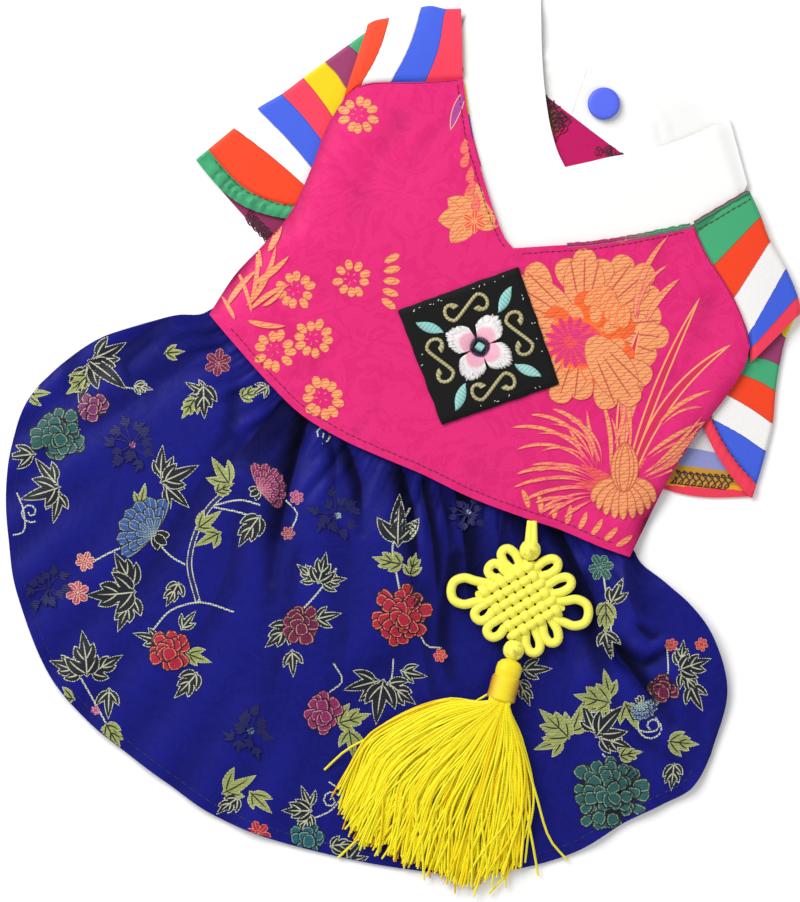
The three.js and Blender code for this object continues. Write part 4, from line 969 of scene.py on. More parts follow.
class Pattern:
    """Strips of thread gathered into one piece that lies on a surface. Edge and vein are distances in mm.
    A strip made later lies a little higher, and rest() starts again at a given layer."""

    def __init__(self, tree):
        self.tree, self.count, self.layer = tree, 0, 0
        self.rows, self.faces = [], []

    def rest(self, layer=0):
        self.layer = layer

    def strip(self, path, widths, look, across=4):
        """A band along a path; look is (fill colour, line colour, line width, vein width)."""
        fill, line, rim, vein = look
        path, widths = np.asarray(path, float), np.asarray(widths, float)
        across = across * max(1, round(widths.max() / 3))
        tangent = unit(np.gradient(path, axis=0))
        v = np.linspace(-1, 1, across + 1)
        offset = widths[:, None] * v[None, :]
        x, y = path[:, :1] - tangent[:, 1:] * offset, path[:, 1:] + tangent[:, :1] * offset
        run = run_of(path)
        from_end = np.minimum(run, run[-1] - run)[:, None] + 0 * offset
        border = np.minimum(widths[:, None] * (1 - abs(v)), from_end)
        rise = 0.05 + 0.006 * self.layer - 0.003 * (border <= 1e-6)
        numbers = [n.reshape(-1, 1) for n in (x, y, rise, border - rim, abs(offset) - vein)]
        self.rows.append(np.hstack(numbers + [np.tile(fill + line, (offset.size, 1))]))
        self.faces.append(grid_faces(len(path), across + 1, self.count, True))
        self.count += offset.size
        self.layer += 1

    def petal(self, x, y, turn, length, width, look, base=0.9, tip=0.45, bend=0, points=10):
        """A petal or leaf from its base; base and tip say how pointed its ends are, bend is in degrees."""
        u = even(points)
        heading = np.radians(turn) + np.radians(bend) * (u - 0.5)
        step = np.column_stack([np.cos(heading), np.sin(heading)]) * length / (points - 1)
        path = np.array([[x, y]]) + np.vstack([[0, 0], np.cumsum((step[1:] + step[:-1]) / 2, axis=0)])
        peak = base / (base + tip)
        profile = u ** base * (1 - u) ** tip / (peak ** base * (1 - peak) ** tip)
        self.strip(path, profile * width / 2, look)

    def leaf(self, x, y, turn, size, look):
        """A pointed leaf with one or two lobes on each side: its outline, then its fill, then its veins."""
        fill, line, rim = look[:3]
        c, s = toward(turn)
        root = np.array([x - c * size * 0.5, y - s * size * 0.5])
        lobes = []
        pairs = ((0.08, 42, 0.56), (0.36, 30, 0.44)) if dice.random() < 0.5 else ((0.14, 38, 0.6),)
        for far, lean, reach in pairs:
            for side in (-1, 1):
                lobes.append((far, side * (lean + about(8)), reach * dice.uniform(0.8, 1.12), 0.28, -26 * side))
        lobes.append((0, 0, 1, 0.31, about(14)))
        for stage in ("outline", "fill", "vein"):
            for far, lean, reach, width, bend in lobes:
                inset = rim if stage == "fill" else 0
                way = radians(turn + lean - bend / 2)
                start = root + np.array([c, s]) * size * far + np.array([cos(way), sin(way)]) * inset
                if stage == "vein":
                    tone = line if look[3] else BLACK_FILL
                    self.petal(*start, turn + lean, size * reach * 0.78, 0.5, (tone, tone, 0, 0), 0.3, 0.5, bend, 7)
                else:
                    tones = (BLACK_FILL, line, 9, 0) if stage == "outline" else (fill, fill, 0, 0)
                    self.petal(*start, turn + lean, size * reach - 2.6 * inset, size * width - 2 * inset, tones, 0.6, 1,
                               bend, 9)

    def cluster(self, x, y, turn, size, look):
        """Three leaves that spread from one point."""
        for lean, reach in ((-62, 0.9), (66, 0.86), (4, 1.1)):
            angle = radians(turn + lean)
            self.leaf(x + cos(angle) * size * 0.52, y + sin(angle) * size * 0.52, turn + lean, size * reach, look)

    def medallion(self, x, y, radius, look):
        """A faint figure in the ground's own tone."""
        for k in range(11):
            angle = 360 * k / 11 + about(12)
            reach = radius * dice.uniform(0.45, 1)
            self.petal(x, y, angle, reach, 0.45, look, 0.3, 0.3, about(60), 8)
            c, s = toward(angle)
            self.leaf(x + c * reach * 0.8, y + s * reach * 0.8, angle + about(50), radius * 0.44, look)

    def blossom(self, x, y, radius, count, look, heart, start, width, turn=0):
        """A ring of short petals round a small heart."""
        for k in range(count):
            angle = turn + 360 * k / count + about(6)
            c, s = toward(angle)
            size = radius * dice.uniform(0.9, 1.08)
            self.petal(x + c * size * start, y + s * size * start, angle, size * (1 - start), radius * width, look,
                       0.45, 0.4, about(16), 7)
        if heart:
            self.petal(x - radius * 0.17, y, 0, radius * 0.34, radius * 0.34, heart, 0.5, 0.5, points=7)

    def peony(self, x, y, radius, fill, line):
        """Rings of blunt, uneven petals with dark gaps between them, the outer ones first."""
        self.petal(x - radius * 0.74, y, 0, radius * 1.48, radius * 1.4, GAP, 0.5, 0.5, points=16)
        rings = max(2, round(radius / 3.2))
        for ring in range(rings):
            reach = radius * (1 - ring / rings * 0.84)
            count = max(3, round(2 * pi * reach / 5))
            for k in range(count):
                angle = ring * 31 + 360 * k / count + about(9)
                c, s = toward(angle)
                far = reach * dice.uniform(0.8, 1.12)
                long, wide = min(dice.uniform(4.2, 6.2), far + 1), dice.uniform(3.4, 5)
                x0, y0 = x + c * (far - long), y + s * (far - long)
                turn, bend = angle + about(24), about(34)
                self.petal(x0 - c * 0.35, y0 - s * 0.35, turn, long + 0.7, wide + 1, GAP, 0.35, 0.22, bend, 9)
                self.petal(x0, y0, turn, long, wide, (fill, line, 0.42, 0), 0.35, 0.22, bend, 9)

    def fan(self, x, y, turn, radius, fill, line, spread=130, rows=3):
        """A half-open flower: rows of petals that spread to one side of a cup."""
        for row in range(rows):
            reach = radius * (1 - 0.25 * row)
            count = 7 - row
            for k in range(count):
                lean = (k / (count - 1) - 0.5) * spread + about(4)
                self.petal(x, y, turn + lean, reach + 0.4, reach * 0.4, GAP, 0.9, 0.25, 0, 12)
                self.petal(x, y, turn + lean, reach, reach * 0.33, (fill, line, 0.36, 0.1), 0.9, 0.25, 0, 12)
        for lean in (-40, 40, 0):
            self.petal(x, y, turn + 180 + lean, radius * 0.4, radius * 0.26, (BLACK_FILL, PALE, 0.36, 0), 0.5, 0.7)

    def stem(self, points, width, look):
        path = spline(points, 8)
        count = max(6, int(length_of(path) / 1.6))
        self.strip(resample(path, even(count)), np.full(count, width / 2), look, 2)

    def build(self, name, look):
        rows, faces = np.vstack(self.rows), np.vstack(self.faces)
        z = drop(self.tree, rows[:, 0], rows[:, 1]) + rows[:, 2]
        faces = faces[(z > 0.4)[faces].all(axis=1)]
        used, order = np.unique(faces, return_inverse=True)
        points, rows = np.column_stack([rows[:, :2], z])[used], rows[used]
        return add_mesh(name, points, order.reshape(-1, 4), LOOKS[look], None, {"edge": rows[:, 3], "vein": rows[:, 4]},
                        {"fill": rows[:, 5:9], "line": rows[:, 9:]}, 180)


# Each row: where it starts, its direction, length, bend and width.
BLADES = [
    (60, 21, 112, 58, -24, 3.6), (62, 22, 98, 70, -12, 3.4), (64, 22, 84, 62, -44, 4), (66, 26, 72, 44, 22, 2.2),
    (67, 25, 64, 34, 12, 1.8), (64, 32, 60, 26, -24, 1.8), (62, 44, 62, 24, -40, 1.8), (58, 22, 120, 36, 26, 2),
    (55, 22, 128, 27, 30, 1.9), (51, 22, 134, 20, -22, 1.7), (56, 36, 118, 20, -30, 1.9), (48, 22, 140, 16, 24, 1.6),
    (52, 30, 110, 20, 34, 1.7), (45, 20, 146, 13, 22, 1.5), (36, 73, 98, 33, -46, 2.3), (40, 74, 82, 20, -36, 2.5),
    (44, 42, 124, 12, -20, 1.7), (68, 30, 76, 26, 12, 1.6)]
SPRAY = [
    (51, 20, 158, 29, 56, 2.1), (50, 19, 170, 33, 60, 1.8), (51, 18, 182, 37, 56, 1.8), (51, 17, 192, 32, 62, 1.6),
    (52, 16, 198, 24, 34, 1.5), (52, 15, 205, 29, 40, 1.8), (53, 14, 212, 30, 34, 1.6), (53, 12, 219, 25, 30, 1.8),
    (54, 11, 226, 19, 26, 1.5), (54, 10, 234, 17, 26, 1.7), (55, 9, 243, 12, 18, 1.5), (50, 6, 214, 15, 30, 1.7),
    (48, 4, 232, 11, 26, 1.5)]
CORNER_SPRAY = [
    (-87, 7, 94, 25, 36, 2.2), (-89, 22, 126, 14, -30, 2), (-86, 8, 116, 28, 30, 1.7), (-84, 6, 140, 18, 20, 1.5),
    (-85, 7, 62, 17, -30, 2), (-84, 3, 22, 14, 26, 2.2), (-89, 15, 68, 17, 22, 2.4), (-93, 4, 80, 17, -24, 2.2),
    (-88, 1, 150, 10, 10, 1.6), (-90, 28, 100, 14, 30, 2.6), (-82, 10, 74, 12, 40, 1.6)]


def bodice_figures(tree):
    """Gold and orange brocade: ring blossoms, a big peony, a spray of long petals and small leaves."""
    p = Pattern(tree)
    gold = (GOLD, colour(222, 120, 70), 0.16, 0)
    thin = (GOLD, colour(240, 84, 112), 0.24, 0)
    for x, y, radius, count in ((-86.3, 86.9, 7.4, 9), (-59, 34.5, 7, 8), (-60.1, 9, 7.4, 9), (-70.2, -1.5, 7.6, 9),
                                (-46.8, -7.6, 8, 10), (-74.5, 21, 7.2, 9)):
        p.rest()
        p.blossom(x, y, radius, count + 1, gold, None, 0.42, 0.4, dice.uniform(0, 40))
        for k in range(5):
            p.petal(x - 0.6 + 1.1 * cos(1.3 * k), y + 1.1 * sin(1.3 * k), 70 * k, 1.5, 0.5,
                    (colour(250, 120, 130), FUCHSIA, 0, 0), 0.5, 0.5, points=5)
    for k in range(5):
        p.petal(-52 + 1.4 * k, 45.4 - 2.9 * k, 58 - 16 * k, 6.4, 2.8, gold, 0.5, 0.5, points=7)
    p.rest()
    edged = (GOLD, colour(210, 112, 66), 0.26, 0.16)
    for turn, length, width in ((122, 14, 8), (66, 16, 7), (172, 12, 9), (212, 13, 9), (256, 12, 8), (22, 10, 7)):
        p.petal(-32, 75, turn, length, width, edged, 0.6, 0.8, 14)
    p.blossom(-31.5, 74.5, 4.4, 6, (DEEP_ORANGE, GOLD, 0.2, 0.16), None, 0.1, 0.5)

    x, y = 21.5, 61
    p.rest()
    edge = colour(206, 98, 76)
    for k in range(7):
        angle = 20 + 360 * k / 7 + about(6)
        far = 31 + 2.6 * sin(2.3 * k)
        c, s = toward(angle)
        for lean in (-30, 30, 0):
            c2, s2 = toward(angle + lean * 0.42)
            reach = far - (2.5 if lean else 0)
            p.petal(x + c2 * (reach - 13), y + s2 * (reach - 13), angle + lean * 0.8, 13, 9, (GOLD, edge, 0.3, 0), 0.6,
                    0.4, points=24)
        p.petal(x + c * 4, y + s * 4, angle, far - 8, 15, (GOLD, edge, 0.3, 0), 0.5, 0.35, points=30)
        for lean in (-12, 0, 12):
            c2, s2 = toward(angle + lean)
            p.petal(x + c2 * 12, y + s2 * 12, angle + lean, far - 15, 0.6, (edge, edge, 0, 0), 0.4, 0.4)
    p.rest(24)
    x, y = 27, 58.5
    for k in range(9):
        angle = 40 * k + 8
        c, s = toward(angle)
        p.petal(x - 2 + c * 6, y - 1 + s * 6, angle + about(12), 12, 9, (ORANGE, DEEP_ORANGE, 0.2, 0), 0.5,
                0.35, about(30), 22)
    for k in range(9):
        angle = 40 * k + 20
        c, s = toward(angle)
        p.petal(x - 2 + c * 6.5, y - 1 + s * 6.5, angle + 15, 7.6, 5.4, (GOLD, ORANGE, 0.55, 0), 0.5, 0.4, 40, 18)
    p.petal(x - 15, y - 4.5, 6, 21, 18, (CORAL_FILL, ORANGE, 1.1, 0), 0.5, 0.5, points=30)
    for k in range(15):
        p.petal(x - 7 + 1.8 * cos(0.42 * k), y - 4.4 + 1.8 * sin(0.42 * k), 24 * k, 7.8, 1.9,
                (MAGENTA_FILL, CORAL_FILL, 0.1, 0), 0.6, 0.4)
    p.petal(x - 8.6, y - 2, 30, 4.6, 4.6, (MAGENTA_FILL, CORAL_FILL, 0.3, 0), 0.5, 0.5)
    for k in range(6):
        p.petal(x - 9 + 3.2 * k, y + 9.5 + 1.6 * sin(1.2 * k), 76 + 8 * k, 9, 5, (GOLD, ORANGE, 0.3, 0.12), 0.5, 0.5)

    p.rest()
    for turn, length, width in ((176, 13, 5), (203, 13, 5), (120, 13, 5), (95, 16, 5), (78, 13, 4)):
        p.petal(61, 17, turn, length + 3, width, (colour(250, 96, 100), FUCHSIA, 0, 0), 0.5, 1, points=12)
    for x, y, turn, length, bend, width in BLADES:
        look = (PINK_LINE, GOLD, 0.62, 0) if width > 3 else thin
        p.petal(x, y, turn, length, width, look, 0.6, 0.7, bend, 24)
        if 20 < length < 60:
            p.petal(x + 1.4, y - 0.4, turn - 6, length * 0.74, width * 0.62, thin, 0.8, 0.5, bend * 1.5, 18)
    for x, y, turn, length, bend, width in SPRAY:
        p.petal(x, y, turn, length, width * 0.88, thin, 1.1, 0.5, bend * 1.4, 22)
        p.petal(x + 1, y + 0.6, turn - 4, length * 0.78, width * 0.6, thin, 1.1, 0.5, bend * 1.6, 18)
    for bend in (76, -76, 40, -40, 0):
        p.petal(63.5, 17, 118, 17.5 * (1 + abs(bend) / 700), 4, (GOLD, edge, 0.4, 0), 0.5, 0.6, bend, 16)
    p.rest(40)
    for k in (-4, 4, -3, 3, -2, 2, -1, 1, 0):
        lean = radians(max(1, 16.5 * abs(k)))
        p.petal(62.2, 19.2, -60 + degrees(lean) * (1 if k > 0 else -1) * 0.9, 12.6 * lean / sin(lean), 3.6,
                (GOLD, edge, 0.42, 0), 0.45, 0.45, -degrees(2 * lean) * (1 if k > 0 else -1), 16)
    for x, y, turn, length, bend, width in CORNER_SPRAY:
        p.petal(x, y, turn, length, width, (GOLD, colour(248, 110, 104), 0.2, 0), 0.5, 0.7, bend, 12)
    p.rest()
    for k in range(9):
        p.petal(-13 + 4 * k, 77.2 + 2.6 * k, 208 + 8 * (k % 3), 5.4, 4.6, (GOLD, edge, 0.2, 0), 0.5, 0.5)
    for k in range(8):
        p.petal(37 + 4.8 * k, -5 + 0.55 * k, 140 - 11 * k, 7.5, 2.3, (GOLD, CORAL_FILL, 0.25, 0), 0.5, 0.6, 20)
    for k in range(5):
        p.petal(-49 + 3.4 * k, 99 - 3.9 * k, 292 - 14 * (k % 2), 6.4, 3.2, (colour(248, 128, 110), CORAL_FILL, 0.3, 0))
    p.petal(-57.6, 113, 280, 15, 3.4, (colour(170, 70, 170), colour(240, 170, 150), 0.35, 0), 0.6, 0.8, 14)
    return p.build("bodice_figures", "gold_figures")


SKIRT_LEAVES = [
    ("black cluster", -126.5, -38, -8, 12.5), ("olive", -125.7, -47.6, 250, 8.5),
    ("black", -104.4, -36.6, 20, 5.6), ("olive", -136, -57.5, 40, 7.5), ("black", -130.5, -79.9, 215, 9),
    ("black cluster", -112.5, -82.4, 226, 11), ("olive", -70.5, -19, 60, 6), ("black", -83, -30, 305, 10),
    ("black", -88, -27, 185, 7), ("olive", -86.6, -35, 262, 7), ("black", -67.6, -16.6, 235, 6),
    ("black cluster", -82, -62.9, 48, 11), ("olive", -85.5, -70, 105, 7), ("olive", -65, -48.6, 150, 10),
    ("olive", -61, -53, 60, 6), ("black", -45.6, -62.1, 262, 11), ("olive", -60.4, -66, 66, 9),
    ("olive", -57, -72, 240, 8.5), ("black cluster", -70.3, -101.4, 214, 13), ("black", -58.3, -95.6, 268, 8),
    ("black", -58.7, -113.7, 190, 8), ("black", -48.6, -100.8, 80, 7), ("olive", -38.8, -110.6, 10, 8),
    ("black", -37.9, -121.5, 262, 10), ("black cluster", -15, -66, 96, 8.5), ("black", -6, -74.5, 40, 8),
    ("black", -18, -89.5, 250, 10), ("black", -8.6, -95.4, 300, 8), ("olive", 20.5, -101.7, 40, 10),
    ("olive", 24, -110, 310, 9), ("black cluster", -70.3, -136.4, 120, 12), ("black", -58.6, -141, 300, 9),
    ("olive", -73.9, -147, 200, 7), ("olive", -51.2, -150.5, 330, 9), ("olive", -3.5, -142.9, 60, 11),
    ("olive", 6.4, -144.5, 350, 9), ("black", -3.2, -151.6, 250, 8), ("black", 44.8, -142.8, 80, 9),
    ("black", -1.2, -32, 116, 15), ("olive", 2.4, -46.4, 200, 9), ("olive", 11, -43, 100, 7),
    ("black cluster", 22.7, -84.3, 292, 12), ("black", 31, -77, 20, 8), ("black", 68.4, -53.6, 30, 9),
    ("black", 69, -63.2, 320, 8), ("olive cluster", 91.1, -69.2, 160, 11), ("black cluster", 99, -64, 78, 11),
    ("olive", 80.5, -25, 300, 9), ("black", 79, -15, 100, 9), ("black", 86, -33, 310, 9),
    ("black cluster", 112.5, -28.2, 40, 9), ("black", 122.9, -33.4, 330, 9), ("olive cluster", 97.4, -50.6, 190, 10),
    ("olive", 106, -51, 320, 9), ("olive", 127.2, -50, 20, 9), ("black", 130, -62.6, 290, 8),
    ("olive", 113, -63, 40, 7), ("black", 40, -143, 30, 8), ("olive", -101, -20, 30, 6),
    ("black cluster", 24, -138, 200, 8), ("olive", -119, -61, 100, 5), ("black", 66, -122, 300, 7)]
SKIRT_FLOWERS = [
    ("purple peony", -116.3, -51.3, 5), ("green peony", -122.5, -66.6, 8.6), ("plum blossom", -85.5, -15.3, 5),
    ("slate fan", -74.4, -80.4, 12.5, 172), ("magenta fan", -50, -47.6, 9, 62), ("magenta blossom", -37.1, -43, 2.8),
    ("plum blossom", -33.3, -55.8, 2.6), ("pink blossom", -91.4, -101, 3.8), ("pink blossom", -88.1, -112, 4.6),
    ("red peony", -49.3, -113.3, 6.8), ("plum peony", -13.2, -81.6, 6.4), ("magenta peony", 9.7, -105.4, 7),
    ("red blossom", 11.4, -154.6, 4.6), ("teal peony", 27.4, -147, 5.4), ("red peony", 16.6, -61.1, 9.6),
    ("red blossom", 35.9, -66.6, 2.8), ("green peony", 112.9, -79, 12.5), ("green blossom", 70, -10.3, 5),
    ("red blossom", 105.7, -21.7, 2.6), ("red blossom", 115, -16.3, 2.6), ("plum peony", 111, -37, 5),
    ("blue fan", 106.6, -45, 6, 320), ("magenta blossom", -97.4, -56.3, 1.3), ("magenta blossom", -61.4, -145.6, 1.8),
    ("teal blossom", -9.5, -124, 1.4), ("blue blossom", -21.1, -41.3, 1.4), ("blue blossom", 18.9, -16.9, 1.2)]
STEMS = [
    (2, [(-60.3, -54), (-62.6, -64), (-59.1, -81.9), (-48.8, -93.6)]), (0.9, [(-61, -60), (-54, -54), (-47, -52)]),
    (0.9, [(-61, -61), (-52, -58), (-46.5, -57)]), (0.9, [(-59.6, -84), (-66, -84), (-72, -82)]),
    (0.9, [(-81, -88), (-86, -95), (-89, -100)]), (0.9, [(-36, -90), (-48, -93), (-56, -101), (-58, -110)]),
    (0.8, [(-118, -41), (-111, -40), (-106, -38)]), (0.8, [(-40, -46), (-34, -48), (-33, -54)]),
    (1, [(-12, -58), (-14, -72), (-20, -92)]), (0.8, [(-125, -92), (-119, -97), (-116, -103), (-120, -107)]),
    (1, [(0, -26), (1, -40), (12, -54)]), (0.8, [(24, -62), (30, -66), (35, -64)]),
    (0.8, [(22, -76), (25, -84), (20, -92)]), (0.9, [(90, -60), (97, -54), (104, -50)]),
    (0.9, [(104, -52), (112, -54), (117, -50), (114, -47)]), (1, [(72, -12), (80, -22), (90, -36)]),
    (0.8, [(104, -22), (108, -28), (111, -34)]), (0.8, [(24, -126), (30, -127), (30, -134), (26, -140)]),
    (0.8, [(8, -98), (10, -92), (4, -88)]), (0.9, [(-72, -138), (-62, -144), (-52, -150)]),
    (0.9, [(104, -68), (109, -70), (112, -74)])]


# Each curl: x, y, where it points, radius and the side it turns to.
CURLS = [(114.5, -50.7, 150, 5.6, 1), (-117.3, -95.6, 330, 3.8, -1), (28, -131.4, 60, 3.4, 1),
         (-40.6, -18.9, 300, 3.4, 1)]
LEAF_GROWTH = 1.3


def skirt_figures(tree):
    """Brocade of outlined leaves and flowers over the skirt."""
    p = Pattern(tree)
    ground, faint = colour(34, 30, 104), colour(21, 19, 92)
    for width, points in STEMS:
        p.rest()
        p.stem(points, width * (1 if width > 1.5 else 0.7), (ground, PALE, 0.38 if width > 1.5 else 1, 0))
    for x, y, turn, radius, hand in CURLS:
        p.rest()
        sweep = even(22)
        angle = radians(turn) + hand * sweep * 8.4
        reach = radius * (1 - 0.8 * sweep)
        p.stem(list(zip(x + reach * np.cos(angle), y + reach * np.sin(angle))), 0.6, (ground, PALE, 1, 0))
    tones = {"black": (BLACK_FILL, PALE, 0.32, 1), "olive": (OLIVE, colour(206, 210, 150), 0.22, 0)}
    for x, y, radius in ((-97.6, -56.3, 12), (-9.5, -124, 12), (-22, -41, 11), (62, -100, 12), (-98, -116, 10),
                         (19, -18, 8)):
        p.rest()
        p.medallion(x, y, radius, (faint, faint, 0.01, 1))
    for what, x, y, turn, size in SKIRT_LEAVES:
        tone, *cluster = what.split()
        p.rest(4)
        (p.cluster if cluster else p.leaf)(x, y, turn + about(6), size * LEAF_GROWTH, tones[tone])
    for what, x, y, size, *turn in SKIRT_FLOWERS:
        tone, kind = what.split()
        fill, line = FLOWERS[tone]
        p.rest(8)
        if kind == "peony":
            p.peony(x, y, size * 1.12, fill, line)
        elif kind == "fan":
            p.fan(x, y, *turn, size * 1.1, fill, line)
        else:
            p.blossom(x, y, size, 6, (fill, line, 0.34, 0.12), (line, fill, 0.3, 0), 0.16, 0.62, dice.uniform(0, 60))
    return p.build("skirt_figures", "skirt_figures")


# ---- cords, threads and stitches


def frames(path):
    """Tangent and two directions across it for each point of a path; the last is as upright as it can be."""
    tangent = unit(np.gradient(path, axis=0))
    upright = np.array([1, 0, 0]) if abs(tangent[:, 2]).min() > 0.99 else np.array([0, 0, 1])
    aside = unit(np.cross(tangent, upright))
    return tangent, aside, np.cross(aside, tangent)


class Tubes:
    """Round cords gathered into one piece, closed at both ends."""

    def __init__(self):
        self.points, self.faces, self.uv, self.tints, self.count = [], [], [], [], 0

    def add(self, path, radius, sides, tint=None, flat=1):
        """radius is a number or one for each point; tint is a colour or one for each point."""
        path = np.asarray(path, float)
        m = len(path)
        radius = np.broadcast_to(np.asarray(radius, float), (m,))
        _, aside, up = frames(path)
        angle = np.arange(sides) * 2 * pi / sides
        ring = (aside[:, None] * np.cos(angle)[None, :, None] + up[:, None] * (np.sin(angle) * flat)[None, :, None])
        body = path[:, None] + ring * radius[:, None, None]
        self.points.append(np.vstack([body.reshape(-1, 3), path[:1], path[-1:]]))
        i, j = np.meshgrid(np.arange(m - 1), np.arange(sides), indexing="ij")
        a, b = self.count + (i * sides + j).ravel(), self.count + (i * sides + (j + 1) % sides).ravel()
        self.faces += np.column_stack([a, b, b + sides, a + sides]).tolist()
        first, last = self.count + m * sides, self.count + m * sides + 1
        for k in range(sides):
            after = (k + 1) % sides
            self.faces.append([first, self.count + after, self.count + k])
            self.faces.append([last, self.count + (m - 1) * sides + k, self.count + (m - 1) * sides + after])
        run = run_of(path)
        self.uv.append(np.vstack([np.column_stack([np.repeat(run, sides), np.tile(angle / (2 * pi), m)]),
                                  [[run[0], 0], [run[-1], 0]]]))
        if tint is not None:
            tint = np.broadcast_to(np.asarray(tint, float), (m, 4))
            self.tints.append(np.vstack([np.repeat(tint, sides, axis=0), tint[:1], tint[-1:]]))
        self.count += m * sides + 2

    def build(self, name, look):
        colours = {"fill": np.vstack(self.tints)} if self.tints else None
        return add_mesh(name, np.vstack(self.points), self.faces, LOOKS[look], np.vstack(self.uv), None, colours, 60)


def stitches(tubes, path, length, gap, radius, wander=0.08):
    """A row of short stitches that dip into the cloth at both ends."""
    total = length_of(path)
    count = int(total / (length + gap))
    for k in range(count):
        start = (k * (length + gap) + gap / 2) / total
        middle = resample(path, start + np.linspace(0, length / total, 5))
        middle[:, :2] += [about(wander), about(wander)]
        middle[:, 2] += np.array([-0.14, 0.05, 0.1, 0.05, -0.14])
        tubes.add(middle, radius * np.array([0.5, 0.9, 1, 0.9, 0.5]), 5)


LAID_STEP = 1.2


def laid(tree, points, rise=0.08):
    """A smooth path through flat points, dropped on a surface."""
    path = points if isinstance(points, np.ndarray) and len(points) > 30 else spline(points)
    return laid_points(tree, resample(path, even(max(4, int(length_of(path) / LAID_STEP)))), rise)


def laid_points(tree, path, rise):
    """The same points, dropped on a surface."""
    return np.column_stack([path, drop(tree, path[:, 0], path[:, 1], rise)])


def offset_path(path, distance):
    """A flat path moved to its left."""
    tangent = unit(np.gradient(path, axis=0))
    return path + np.column_stack([-tangent[:, 1], tangent[:, 0]]) * distance


def shaky(path, size, seed, amount=0.3):
    """Small unevenness for the flat points of a path."""
    return amount * np.column_stack([ripple(path[:, 0], path[:, 1], size, k) for k in (seed, seed + 1)])


